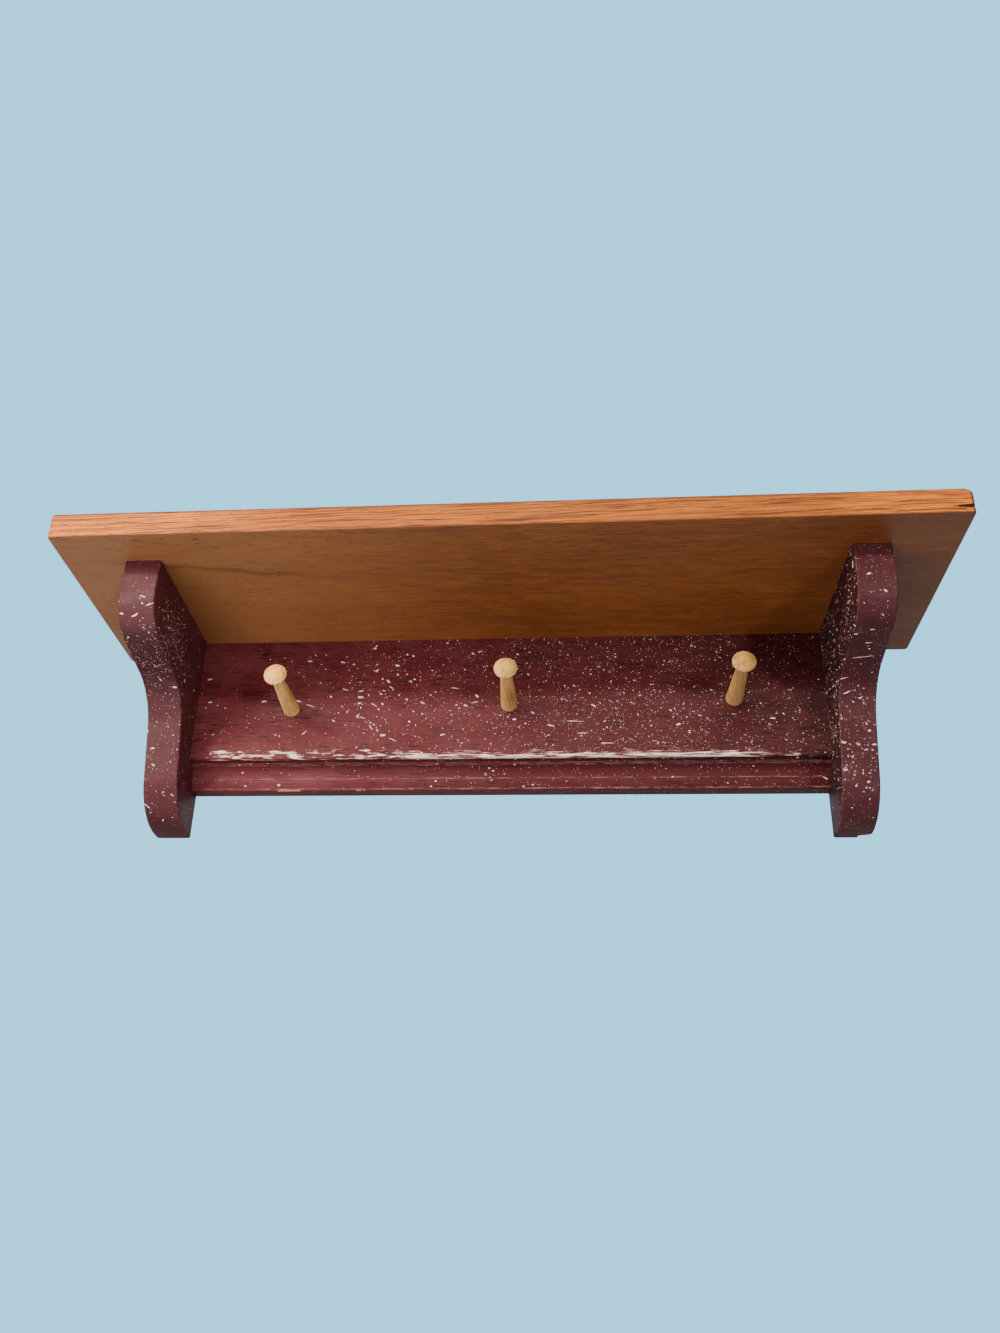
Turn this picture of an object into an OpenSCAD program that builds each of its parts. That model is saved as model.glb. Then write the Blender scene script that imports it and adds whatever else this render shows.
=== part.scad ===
// Wall shelf with three turned pegs between two S-shaped brackets.
// X runs along the shelf, Y towards the wall and Z up. The back of the shelf lies
// on Y = 0, and Z = 0 is the height of the wall screws that it hangs on.

/* [Top board] */
// Length of the top board
top_w = 450; // [400:1:600]
// Depth of the top board, from the wall to its front edge
top_d = 120; // [112:1:160]
// Thickness of the top board
top_t = 14; // [11:0.5:20]
// Radius of the top board's corners, seen from above
top_corner_r = 2; // [0.5:0.5:6]

/* [Back board] */
// Height of the back board, under the top board
back_h = 89; // [80:1:110]
// Thickness of the back board
back_t = 19; // [17:0.5:24]

/* [Moulded lower edge] */
// Height of the moulding at the lower edge of the back board
mould_h = 14; // [11:0.5:20]
// Depth of the quirk under the flat face
quirk_d = 4; // [2:0.5:5]
// Height of the small fillet between the quirk and the cove
fillet_h = 0.9; // [0.5:0.1:1.5]
// Radius of the cove
cove_r = 6; // [4:0.5:7]
// How far the bead stands in front of the foot of the cove
bead_step = 0.8; // [0.4:0.1:1.5]
// Height of the bead's shoulder above the lower edge
bead_h = 5.9; // [5:0.1:6.5]
// Radius of the bead
bead_r = 8.3; // [7:0.1:10]

/* [Brackets] */
// How far the top board runs past each bracket
overhang = 33; // [10:1:45]
// Thickness of the brackets
bracket_t = 19; // [16:0.5:24]
// Height of the brackets, under the top board
bracket_h = 114; // [108:0.5:140]
// Depth of the nose at the top of the bracket
nose_d = 98.5; // [85:0.5:105]
// Radius of the nose
nose_r = 20; // [12:0.5:24]
// How far the nose's arc reaches below the top board
nose_drop = 39.3; // [36:0.1:42]
// Radius of the hollow between the nose and the foot
hollow_r = 28.2; // [22:0.2:30]
// How far the highest point of the hollow lies below the top board
hollow_drop = 42.8; // [40:0.1:46]
// Depth of the bracket at the hollow's deepest point
waist_d = 36.8; // [33:0.2:42]
// Depth of the foot
foot_d = 31.5; // [27:0.5:34]
// Radius of the foot
foot_r = 26.5; // [20:0.5:27]

/* [Pegs] */
// How far an outer peg sits from its end of the back board, when the row is in the middle
peg_end_gap = 51.5; // [38:0.5:61]
// How far the middle peg sits to the right of the middle
peg_shift = 3; // [-4:0.5:4]
// How far the middle peg sits below the top board
peg_drop = 42.5; // [38:0.5:48]
// How much higher each peg sits than the one to its left
peg_rise = 1.8; // [0:0.1:3]
// How far a peg stands out of the back board
peg_reach = 41; // [30:0.5:60]
// Radius of a peg at the board
peg_base_r = 4.6; // [4:0.1:6]
// Radius of a peg's neck, behind the head
peg_neck_r = 2.7; // [2:0.1:3.5]
// Radius of a peg's head
peg_head_r = 6.1; // [5:0.1:8]
// Height of the dome on a peg's head
peg_dome_h = 2.8; // [1.5:0.1:4]
// Thickness of the rim round a peg's head
peg_rim_h = 0.7; // [0.4:0.1:1.5]
// Length of the cone from the neck to the rim
peg_flare_h = 2.4; // [1.5:0.1:4]
// Radius of a peg's tenon
tenon_r = 3.2; // [2.5:0.1:3.8]
// Length of a peg's tenon
tenon_l = 12; // [8:0.5:14]

/* [Wood screws and plugs] */
// Radius of the shank and of the thread's crest
screw_r = 1.75; // [1.5:0.05:2]
// Radius of the thread's core
screw_core_r = 1.15; // [0.9:0.05:1.3]
// Radius of the head
screw_head_r = 3.3; // [3:0.1:3.8]
// Distance from one thread ridge to the next
screw_pitch = 1.5; // [1.2:0.1:2]
// Length of the screws that hold the top board
top_screw_l = 30; // [25:1:35]
// Length of the screws through the brackets
side_screw_l = 35; // [30:1:40]
// Radius of the wood plugs over the screws
plug_r = 4.75; // [4:0.25:6]
// Length of the plugs in the top board
top_plug_l = 4; // [3:0.5:5]
// Length of the plugs in the brackets
side_plug_l = 5; // [3:0.5:7]
// How far the front screws of the brackets sit from the wall
top_screw_front = 80; // [60:1:85]
// How far the rear screws of the brackets sit from the wall
top_screw_rear = 30; // [25:1:45]
// Distance between the two screws from the top board into the back board
back_screw_gap = 120; // [60:1:140]
// How far the upper side screws sit below the top board
side_screw_upper = 15; // [12:0.5:25]
// How far the lower side screws sit below the top board
side_screw_lower = 58; // [45:0.5:65]

/* [Keyhole hangers] */
// How far the middle of a hanger sits from its end of the back board
hanger_end_gap = 73; // [71:1:93]
// How far the wall screws sit below the underside of the top board
hang_drop = 22; // [18:0.5:28]
// Length of a hanger plate
hanger_l = 45; // [42:0.5:48]
// Width of a hanger plate
hanger_w = 16; // [14:0.5:18]
// Thickness of a hanger plate
hanger_t = 2; // [1.5:0.1:3]
// Radius of the keyhole's round entry
key_r = 4.75; // [4:0.05:5]
// Width of the keyhole's slot
key_slot_w = 4.8; // [4:0.1:5.5]
// Distance from the middle of the entry to the end of the slot
key_travel = 10; // [9:0.5:11]
// Depth of the pocket behind the keyhole
pocket_d = 8; // [6:0.5:9]
// Radius of the small screws' shank
small_screw_r = 1.4; // [1.2:0.05:1.6]
// Radius of the small screws' core
small_core_r = 0.95; // [0.7:0.05:1.1]
// Radius of the small screws' head
small_head_r = 2.7; // [2.4:0.1:3]
// Length of the small screws
small_screw_l = 13; // [10:1:15]
// Distance between the two screws of a hanger plate
hanger_screw_gap = 35; // [34:0.5:36]

/* [Hidden] */
$fn = 64;

// Glue line between a wooden pin or plug and its hole
glue_gap = 0.05;
// Air between a screw and its hole
screw_gap = 0.05;
// Air round a hanger plate in its recess
recess_gap = 0.2;
// Air at the bottom of a blind hole
end_gap = 0.5;
// How far a cutting shape runs past the face that it opens
cut = 1;
// Room round a wall screw's head in the pocket behind the keyhole
pocket_gap = 0.75;
// Share of a screw's length that is left without thread, under the head
plain_share = 0.3;
// Length of a screw's point, as a multiple of its core's radius
point_share = 2;
// Width of each arm of the cross recess in a screw head, as a share of the head's radius
cross_w_share = 0.24;
// Length of each arm of the cross recess, as a share of the head's radius
cross_l_share = 1.1;
// Depth of the cross recess, as a share of the head's radius
cross_d_share = 0.45;
// Flat edge round a screw head, as a share of its radius
head_rim_share = 0.1;
// Bevel at the blind end of a tenon or plug
end_bevel = 0.6;

// Height of the underside of the top board
under_z = hang_drop;
// Height of the face of the top board
top_z = under_z + top_t;
// Distance from the middle to the inner face of a bracket
inner_x = top_w / 2 - overhang - bracket_t;
// Distance from the middle to the middle of a bracket's thickness
side_x = inner_x + bracket_t / 2;
// Height of the middle peg
peg_z = under_z - peg_drop;
// Distance between neighbouring pegs
peg_pitch = inner_x - peg_end_gap;
// Distance from the middle to the middle of a hanger
hanger_x = inner_x - hanger_end_gap;
// Height of the middle of a hanger plate
plate_mid_z = -key_travel / 2;
// Radius of the pocket behind a keyhole
pocket_r = key_r + pocket_gap;

// Centres of the three arcs of a bracket: distance from the wall, distance below the top board
nose_c = [nose_d - nose_r, nose_drop - nose_r];
hollow_c = [waist_d + hollow_r, hollow_drop + hollow_r];
foot_c = [foot_d - foot_r, bracket_h - foot_r];

// Unit normal, pointing from circle a towards circle b, of the straight line that touches both
// circles and passes between them; side picks which of the two such lines
function between_normal(a, ra, b, rb, side) =
    let (v = b - a, d = norm(v), along = (ra + rb) / d, across = side * sqrt(1 - along * along))
    [v.x * along - v.y * across, v.y * along + v.x * across] / d;

nose_n = between_normal(nose_c, nose_r, hollow_c, hollow_r, -1);
foot_n = between_normal(foot_c, foot_r, hollow_c, hollow_r, 1);

// Outline of a bracket, as distance from the wall and distance below the top board
module bracket_outline() {
    intersection() {
        square([nose_d, bracket_h]);
        difference() {
            union() {
                polygon([[0, 0], [nose_d, 0], [nose_d, nose_c.y], nose_c, nose_c + nose_r * nose_n,
                         hollow_c - hollow_r * nose_n, hollow_c - hollow_r * foot_n,
                         foot_c + foot_r * foot_n, foot_c, [foot_c.x, bracket_h], [0, bracket_h]]);
                translate(nose_c) circle(nose_r);
                translate(foot_c) circle(foot_r);
            }
            translate(hollow_c) circle(hollow_r);
        }
    }
}

// Bracket board standing on its outline, with its inner face on X = 0 and its outer face at +X
module bracket_blank() {
    translate([0, 0, under_z])
        rotate([-90, 0, -90]) linear_extrude(bracket_t) bracket_outline();
}

// Outline of the back board: distance from the wall, height above its lower edge
module back_outline() {
    quirk_x = back_t - quirk_d;
    cove_top = mould_h - fillet_h;
    cove_foot = cove_top - cove_r;
    cove_x = quirk_x - cove_r;
    bead_x = cove_x + bead_step;
    translate([0, mould_h]) square([back_t, back_h - mould_h]);
    translate([0, cove_top]) square([quirk_x, fillet_h]);
    difference() {
        translate([0, cove_foot]) square([quirk_x, cove_r]);
        translate([quirk_x, cove_foot]) circle(cove_r);
    }
    translate([0, bead_h]) square([cove_x, cove_foot - bead_h]);
    intersection() {
        square([bead_x, bead_h]);
        translate([bead_x - bead_r, bead_h]) circle(bead_r);
    }
}

// Plate of a hanger: a strip with round ends, upright, its outer face on Y = 0
module hanger_strip(w, l, t) {
    rotate([90, 0, 0])
        linear_extrude(t) {
            square([w, l - w], center = true);
            for (s = [-1, 1]) translate([0, s * (l - w) / 2]) circle(w / 2);
        }
}

// Round-ended pocket of radius r that spans the keyhole's travel, opening towards the wall
module key_pocket(r, depth) {
    rotate([90, 0, 0])
        linear_extrude(depth) {
            translate([-r, -key_travel]) square([2 * r, key_travel]);
            for (z = [-key_travel, 0]) translate([0, z]) circle(r);
        }
}

// Wood screw along -Z with the flat of its head on Z = 0; the thread is drawn as plain ridges
module wood_screw(r, core_r, head_r, l, pitch) {
    head_h = head_r - r;
    rim = head_rim_share * head_r;
    start = rim + head_h + plain_share * l;
    point = point_share * core_r;
    ridges = floor((l - point - start) / pitch);
    arm_l = cross_l_share * head_r;
    arm_w = cross_w_share * head_r;
    difference() {
        rotate_extrude()
            polygon(concat(
                [[0, 0], [head_r, 0], [head_r, -rim], [r, -rim - head_h], [r, -start + pitch / 2]],
                [for (i = [0:ridges - 1]) each [[core_r, -start - i * pitch],
                                               [r, -start - i * pitch - pitch / 2]]],
                [[core_r, -start - ridges * pitch], [core_r, -l + point], [0, -l]]));
        for (a = [0, 90]) rotate([0, 0, a])
            translate([-arm_l / 2, -arm_w / 2, -cross_d_share * head_r])
                cube([arm_l, arm_w, head_r]);
    }
}

// Hole that a wood screw fits in, running on above its head
module screw_hole(r, core_r, head_r, l) {
    g = screw_gap;
    rim = head_rim_share * head_r;
    rotate_extrude()
        polygon([[0, cut], [head_r + g, cut], [head_r + g, -rim], [r + g, -rim - (head_r - r)],
                 [r + g, -l + point_share * core_r], [0, -l - end_gap]]);
}

// Round plug along -Z with its face on Z = 0
module plug(l) {
    r = plug_r - glue_gap;
    straight_l = l - end_bevel;
    translate([0, 0, -straight_l]) cylinder(h = straight_l, r = r);
    translate([0, 0, -l]) cylinder(h = end_bevel, r1 = r - end_bevel, r2 = r);
}

// Hole for a plug with a screw below it, as one cutting shape
module plugged_hole(plug_l, screw_l) {
    translate([0, 0, -plug_l]) cylinder(h = plug_l + cut, r = plug_r);
    translate([0, 0, -plug_l]) screw_hole(screw_r, screw_core_r, screw_head_r, screw_l);
}

// Puts its children where the screws pass from the top board into a bracket; side is -1 or 1
module at_top_screws(side) {
    for (d = [top_screw_rear, top_screw_front]) translate([side * side_x, -d, top_z]) children();
}

// Puts its children where the screws pass from the top board into the back board
module at_back_screws() {
    for (s = [-1, 1]) translate([s * back_screw_gap / 2, -back_t / 2, top_z]) children();
}

// Puts its children where the screws pass from a bracket into the back board; side is -1 or 1
module at_side_screws(side) {
    for (drop = [side_screw_upper, side_screw_lower])
        translate([side * (inner_x + bracket_t), -back_t / 2, under_z - drop])
            rotate([0, side * 90, 0]) children();
}

// Puts its children on a hanger's wall line, at the back face; side is -1 or 1
module at_hanger(side) {
    translate([side * hanger_x, 0, 0]) children();
}

// Puts its children at the two small screws of a hanger, turned to run into the back board
module at_small_screws() {
    for (s = [-1, 1])
        translate([0, 0, plate_mid_z + s * hanger_screw_gap / 2]) rotate([-90, 0, 0]) children();
}

// Puts its children at a peg's seat on the back board, turned to point away from the wall
module at_peg(i) {
    translate([peg_shift + i * peg_pitch, -back_t, peg_z + i * peg_rise])
        rotate([90, 0, 0]) children();
}

module top_board() {
    color("peru") difference() {
        translate([-top_w / 2, -top_d, under_z]) linear_extrude(top_t) {
            r = top_corner_r;
            translate([r, 0]) square([top_w - 2 * r, top_d]);
            translate([0, r]) square([top_w, top_d - 2 * r]);
            for (x = [r, top_w - r], y = [r, top_d - r]) translate([x, y]) circle(r);
        }
        for (side = [-1, 1]) at_top_screws(side) plugged_hole(top_plug_l, top_screw_l);
        at_back_screws() plugged_hole(top_plug_l, top_screw_l);
    }
}

module back_board() {
    color("brown") difference() {
        translate([inner_x, 0, under_z - back_h])
            rotate([90, 0, -90]) linear_extrude(2 * inner_x) back_outline();
        for (i = [-1:1]) at_peg(i)
            translate([0, 0, -tenon_l - end_gap]) cylinder(h = tenon_l + end_gap + cut, r = tenon_r);
        at_back_screws() plugged_hole(top_plug_l, top_screw_l);
        for (side = [-1, 1]) {
            at_side_screws(side) plugged_hole(side_plug_l, side_screw_l);
            at_hanger(side) {
                translate([0, cut, plate_mid_z])
                    hanger_strip(hanger_w + 2 * recess_gap, hanger_l + 2 * recess_gap, hanger_t + cut);
                key_pocket(pocket_r, hanger_t + pocket_d);
                at_small_screws() screw_hole(small_screw_r, small_core_r, small_head_r, small_screw_l);
            }
        }
    }
}

module bracket(side) {
    color("firebrick") difference() {
        translate([side * inner_x, 0, 0]) mirror([side < 0 ? 1 : 0, 0, 0]) bracket_blank();
        at_top_screws(side) plugged_hole(top_plug_l, top_screw_l);
        at_side_screws(side) plugged_hole(side_plug_l, side_screw_l);
    }
}

module left_bracket() { bracket(-1); }
module right_bracket() { bracket(1); }

// Turned peg along +Z with its shoulder on Z = 0
module peg() {
    rim_z = peg_reach - peg_dome_h;
    flare_z = rim_z - peg_rim_h;
    neck_z = flare_z - peg_flare_h;
    dome_r = (peg_head_r * peg_head_r + peg_dome_h * peg_dome_h) / (2 * peg_dome_h);
    color("burlywood") rotate_extrude() {
        polygon([[0, -tenon_l], [tenon_r - glue_gap - end_bevel, -tenon_l],
                 [tenon_r - glue_gap, -tenon_l + end_bevel], [tenon_r - glue_gap, 0],
                 [peg_base_r, 0], [peg_neck_r, neck_z], [peg_head_r, flare_z],
                 [peg_head_r, rim_z], [0, rim_z]]);
        intersection() {
            translate([0, rim_z]) square([peg_head_r, peg_dome_h]);
            translate([0, peg_reach - dome_r]) circle(dome_r);
        }
    }
}

module left_peg() { at_peg(-1) peg(); }
module middle_peg() { at_peg(0) peg(); }
module right_peg() { at_peg(1) peg(); }

module long_screw(plug_l, l) {
    color("silver") translate([0, 0, -plug_l])
        wood_screw(screw_r, screw_core_r, screw_head_r, l, screw_pitch);
}

module left_top_screws() { at_top_screws(-1) long_screw(top_plug_l, top_screw_l); }
module right_top_screws() { at_top_screws(1) long_screw(top_plug_l, top_screw_l); }
module back_top_screws() { at_back_screws() long_screw(top_plug_l, top_screw_l); }
module left_side_screws() { at_side_screws(-1) long_screw(side_plug_l, side_screw_l); }
module right_side_screws() { at_side_screws(1) long_screw(side_plug_l, side_screw_l); }

module left_top_plugs() { color("sienna") at_top_screws(-1) plug(top_plug_l); }
module right_top_plugs() { color("sienna") at_top_screws(1) plug(top_plug_l); }
module back_top_plugs() { color("sienna") at_back_screws() plug(top_plug_l); }
module left_side_plugs() { color("brown") at_side_screws(-1) plug(side_plug_l); }
module right_side_plugs() { color("brown") at_side_screws(1) plug(side_plug_l); }

// Keyhole plate, let in flush with the back of the board
module hanger() {
    color("gainsboro") difference() {
        translate([0, 0, plate_mid_z]) hanger_strip(hanger_w, hanger_l, hanger_t);
        translate([0, cut, -key_travel]) rotate([90, 0, 0]) cylinder(h = hanger_t + 2 * cut, r = key_r);
        translate([0, cut, 0]) key_slot();
        at_small_screws() screw_hole(small_screw_r, small_core_r, small_head_r, small_screw_l);
    }
}

// Narrow slot of the keyhole, from the entry up to the wall screw's place
module key_slot() {
    rotate([90, 0, 0]) linear_extrude(hanger_t + 2 * cut) {
        translate([-key_slot_w / 2, -key_travel]) square([key_slot_w, key_travel]);
        circle(key_slot_w / 2);
    }
}

module left_hanger() { at_hanger(-1) hanger(); }
module right_hanger() { at_hanger(1) hanger(); }

module hanger_screws() {
    color("silver") at_small_screws()
        wood_screw(small_screw_r, small_core_r, small_head_r, small_screw_l, screw_pitch);
}

module left_hanger_screws() { at_hanger(-1) hanger_screws(); }
module right_hanger_screws() { at_hanger(1) hanger_screws(); }

top_board();
back_board();
left_bracket();
right_bracket();
left_peg();
middle_peg();
right_peg();
left_top_screws();
right_top_screws();
back_top_screws();
left_top_plugs();
right_top_plugs();
back_top_plugs();
left_side_screws();
right_side_screws();
left_side_plugs();
right_side_plugs();
left_hanger();
right_hanger();
left_hanger_screws();
right_hanger_screws();
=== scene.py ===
"""Looks of a wall shelf with three turned pegs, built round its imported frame.

X runs along the shelf, Y from its front to its back and Z up, and the back of the shelf lies
on Y = 0. Blender's lengths are metres. Sizes in the dataclasses are what a maker would
measure, in millimetres, and MM turns them into metres.
"""

import logging
import math
import random
from collections.abc import Callable, Iterable, Iterator
from contextlib import contextmanager
from dataclasses import dataclass
from enum import Enum

import bmesh
import bpy
from mathutils import Euler, Matrix, Vector
from mathutils.bvhtree import BVHTree


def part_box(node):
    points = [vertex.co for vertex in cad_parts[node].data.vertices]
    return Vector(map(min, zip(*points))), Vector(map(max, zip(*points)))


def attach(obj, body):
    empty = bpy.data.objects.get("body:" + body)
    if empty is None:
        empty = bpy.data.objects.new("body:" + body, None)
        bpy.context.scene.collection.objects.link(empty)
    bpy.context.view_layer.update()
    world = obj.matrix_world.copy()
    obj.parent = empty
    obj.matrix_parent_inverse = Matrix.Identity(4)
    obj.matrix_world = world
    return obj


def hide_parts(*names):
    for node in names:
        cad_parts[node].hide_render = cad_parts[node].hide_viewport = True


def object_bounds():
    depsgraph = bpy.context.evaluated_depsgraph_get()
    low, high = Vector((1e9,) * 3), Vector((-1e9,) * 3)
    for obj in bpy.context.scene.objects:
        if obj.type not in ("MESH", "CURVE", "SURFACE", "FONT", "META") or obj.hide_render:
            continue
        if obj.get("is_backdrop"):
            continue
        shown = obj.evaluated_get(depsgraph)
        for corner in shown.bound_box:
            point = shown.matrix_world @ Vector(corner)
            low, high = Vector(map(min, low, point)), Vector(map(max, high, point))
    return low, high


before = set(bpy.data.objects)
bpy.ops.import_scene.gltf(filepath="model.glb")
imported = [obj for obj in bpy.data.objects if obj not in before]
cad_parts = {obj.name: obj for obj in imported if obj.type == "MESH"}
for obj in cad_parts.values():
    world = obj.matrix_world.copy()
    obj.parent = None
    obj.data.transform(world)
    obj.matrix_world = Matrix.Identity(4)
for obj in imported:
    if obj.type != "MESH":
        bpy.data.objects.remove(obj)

log = logging.getLogger("wall_shelf")

Colour = tuple[float, float, float]
Point = tuple[float, float, float]
Socket = bpy.types.NodeSocket
Material = bpy.types.Material
Mesh = bpy.types.Mesh
Piece = bpy.types.Object
Feed = Socket | float | tuple[float, ...] | Material

MM = 0.001
BODY = "root"
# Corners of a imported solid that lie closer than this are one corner
WELD = 0.001 * MM
# Faces that meet at a smaller angle than this are one flat face
FLAT = math.radians(0.5)
# Edges sharper than this are edges that a maker eases with sandpaper
SHARP = math.radians(40)
# How far a cutter stands out of the face that it cuts, in millimetres
PROUD = 1.0


class Side(Enum):
    """The two ends of the shelf."""

    LEFT = "left"
    RIGHT = "right"

    @property
    def sign(self) -> int:
        """Which way the end lies along X, -1 or 1."""
        return -1 if self is Side.LEFT else 1


class Grain(Enum):
    """Which way fibres or brush strokes run, as how many widths long they are in X, Y and Z."""

    ALONG_X = (50 / 3, 1.0, 1.0)
    ALONG_Y = (1.0, 50 / 3, 1.0)
    ALONG_Z = (1.0, 1.0, 50 / 3)

    def streak(self, width: float, length_share: float = 1.0) -> Point:
        """Gives the size of a streak, which may be a share of the usual length."""
        return tuple(width * (k * length_share if k > 1.0 else k) for k in self.value)


def rgba(colour: Colour) -> tuple[float, float, float, float]:
    """Adds the fourth number that Blender's colours have."""
    return (*colour, 1.0)


def mm(point: Iterable[float]) -> Vector:
    """Turns a point in millimetres into one in metres."""
    return Vector(tuple(point)) * MM


class NodeSheet:
    """A node tree under construction, with the short calls that all trees here share."""

    def __init__(self, tree: bpy.types.NodeTree) -> None:
        """Starts on an empty tree."""
        self.tree = tree

    def add(
        self, kind: str, feeds: dict[int | str, Feed] | None = None, **settings: object
    ) -> bpy.types.Node:
        """Adds one node.

        Args:
            kind: Blender's name for the node.
            feeds: What goes into each input, by its name or number: a socket or a value.
            settings: The node's own properties, such as its operation.

        Returns:
            The new node.
        """
        node = self.tree.nodes.new(kind)
        for name, value in settings.items():
            setattr(node, name, value)
        for key, feed in (feeds or {}).items():
            if isinstance(feed, Socket):
                self.tree.links.new(feed, node.inputs[key])
            else:
                node.inputs[key].default_value = feed
        return node

    def math(self, operation: str, *values: Feed) -> Socket:
        """Returns the result of one step of arithmetic."""
        feeds = dict(enumerate(values))
        return self.add("ShaderNodeMath", feeds, operation=operation).outputs[0]

    def plus(self, first: Feed, second: Feed) -> Socket:
        """Returns the sum of two values."""
        return self.math("ADD", first, second)

    def minus(self, first: Feed, second: Feed) -> Socket:
        """Returns the first value less the second."""
        return self.math("SUBTRACT", first, second)

    def rest(self, share: Feed) -> Socket:
        """Returns what a share leaves of 1."""
        return self.minus(1.0, share)

    def times(self, *values: Feed) -> Socket:
        """Multiplies values.

        Args:
            values: Two or more values.

        Returns:
            Their product.
        """
        product = values[0]
        for value in values[1:]:
            product = self.math("MULTIPLY", product, value)
        return product

    def total(self, start: Feed, *parts: tuple[Feed, Feed]) -> Socket:
        """Adds up values.

        Args:
            start: What the sum starts from.
            parts: Pairs of a value and the share of it that is added.

        Returns:
            The sum.
        """
        total = start
        for value, share in parts:
            total = self.math("MULTIPLY_ADD", value, share, total)
        return total

    def vector(self, operation: str, *vectors: Feed, result: str = "Vector") -> Socket:
        """Returns what one step with vectors gives, which is a vector or else a Value."""
        feeds = dict(enumerate(vectors))
        return self.add("ShaderNodeVectorMath", feeds, operation=operation).outputs[result]

    def measure(self, operation: str, first: Feed, second: Feed) -> Socket:
        """Returns the number that comes from two vectors, such as their distance."""
        return self.vector(operation, first, second, result="Value")

    def scaled(self, vector: Feed, factor: Feed) -> Socket:
        """Returns a vector made longer or shorter."""
        feeds = {"Vector": vector, "Scale": factor}
        return self.add("ShaderNodeVectorMath", feeds, operation="SCALE").outputs["Vector"]

    def split(self, vector: Feed) -> list[Socket]:
        """Returns the three parts of a vector."""
        return list(self.add("ShaderNodeSeparateXYZ", {0: vector}).outputs)

    def join(self, x: Feed, y: Feed, z: Feed) -> Socket:
        """Returns the vector with these three parts."""
        return self.add("ShaderNodeCombineXYZ", {0: x, 1: y, 2: z}).outputs[0]

    def noise(
        self, where: Feed, detail: float = 2.0, roughness: float = 0.5, result: str = "Fac"
    ) -> Socket:
        """Gives clouds about one unit of where wide.

        Args:
            where: The place that the pattern is read at.
            detail: How many times finer clouds are laid over the broad ones.
            roughness: How strong each finer layer is beside the one before.
            result: Fac for a value, mostly 0.3 to 0.7, or Color for three of them.

        Returns:
            The clouds' value.
        """
        feeds = {"Vector": where, "Scale": 1.0, "Detail": detail, "Roughness": roughness}
        return self.add("ShaderNodeTexNoise", feeds).outputs[result]

    def band(self, value: Feed, low: Feed, high: Feed) -> Socket:
        """Returns 0 below low and 1 above high, with a smooth rise between them."""
        feeds = {"Value": value, "From Min": low, "From Max": high}
        return self.add("ShaderNodeMapRange", feeds, interpolation_type="SMOOTHSTEP").outputs[0]

    def near(self, value: Feed, middle: float, half: float, fade: float) -> Socket:
        """Returns 1 within half of middle, falling to 0 over the next fade."""
        off = self.math("ABSOLUTE", self.minus(value, middle))
        return self.rest(self.band(off, half, half + fade))

    def blend(self, share: Feed, first: Feed, second: Feed, most: float = 1.0) -> Socket:
        """Mixes two colours.

        Args:
            share: How much of the first is given over to the second, from 0 to 1.
            first: The colour where share is 0.
            second: The colour where share is 1.
            most: What share is multiplied by first.

        Returns:
            The mixed colour.
        """
        share = share if most == 1.0 else self.times(share, most)
        colours = [rgba(c) if isinstance(c, tuple) else c for c in (first, second)]
        feeds = {0: share, 6: colours[0], 7: colours[1]}
        return self.add("ShaderNodeMix", feeds, data_type="RGBA").outputs[2]


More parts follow.
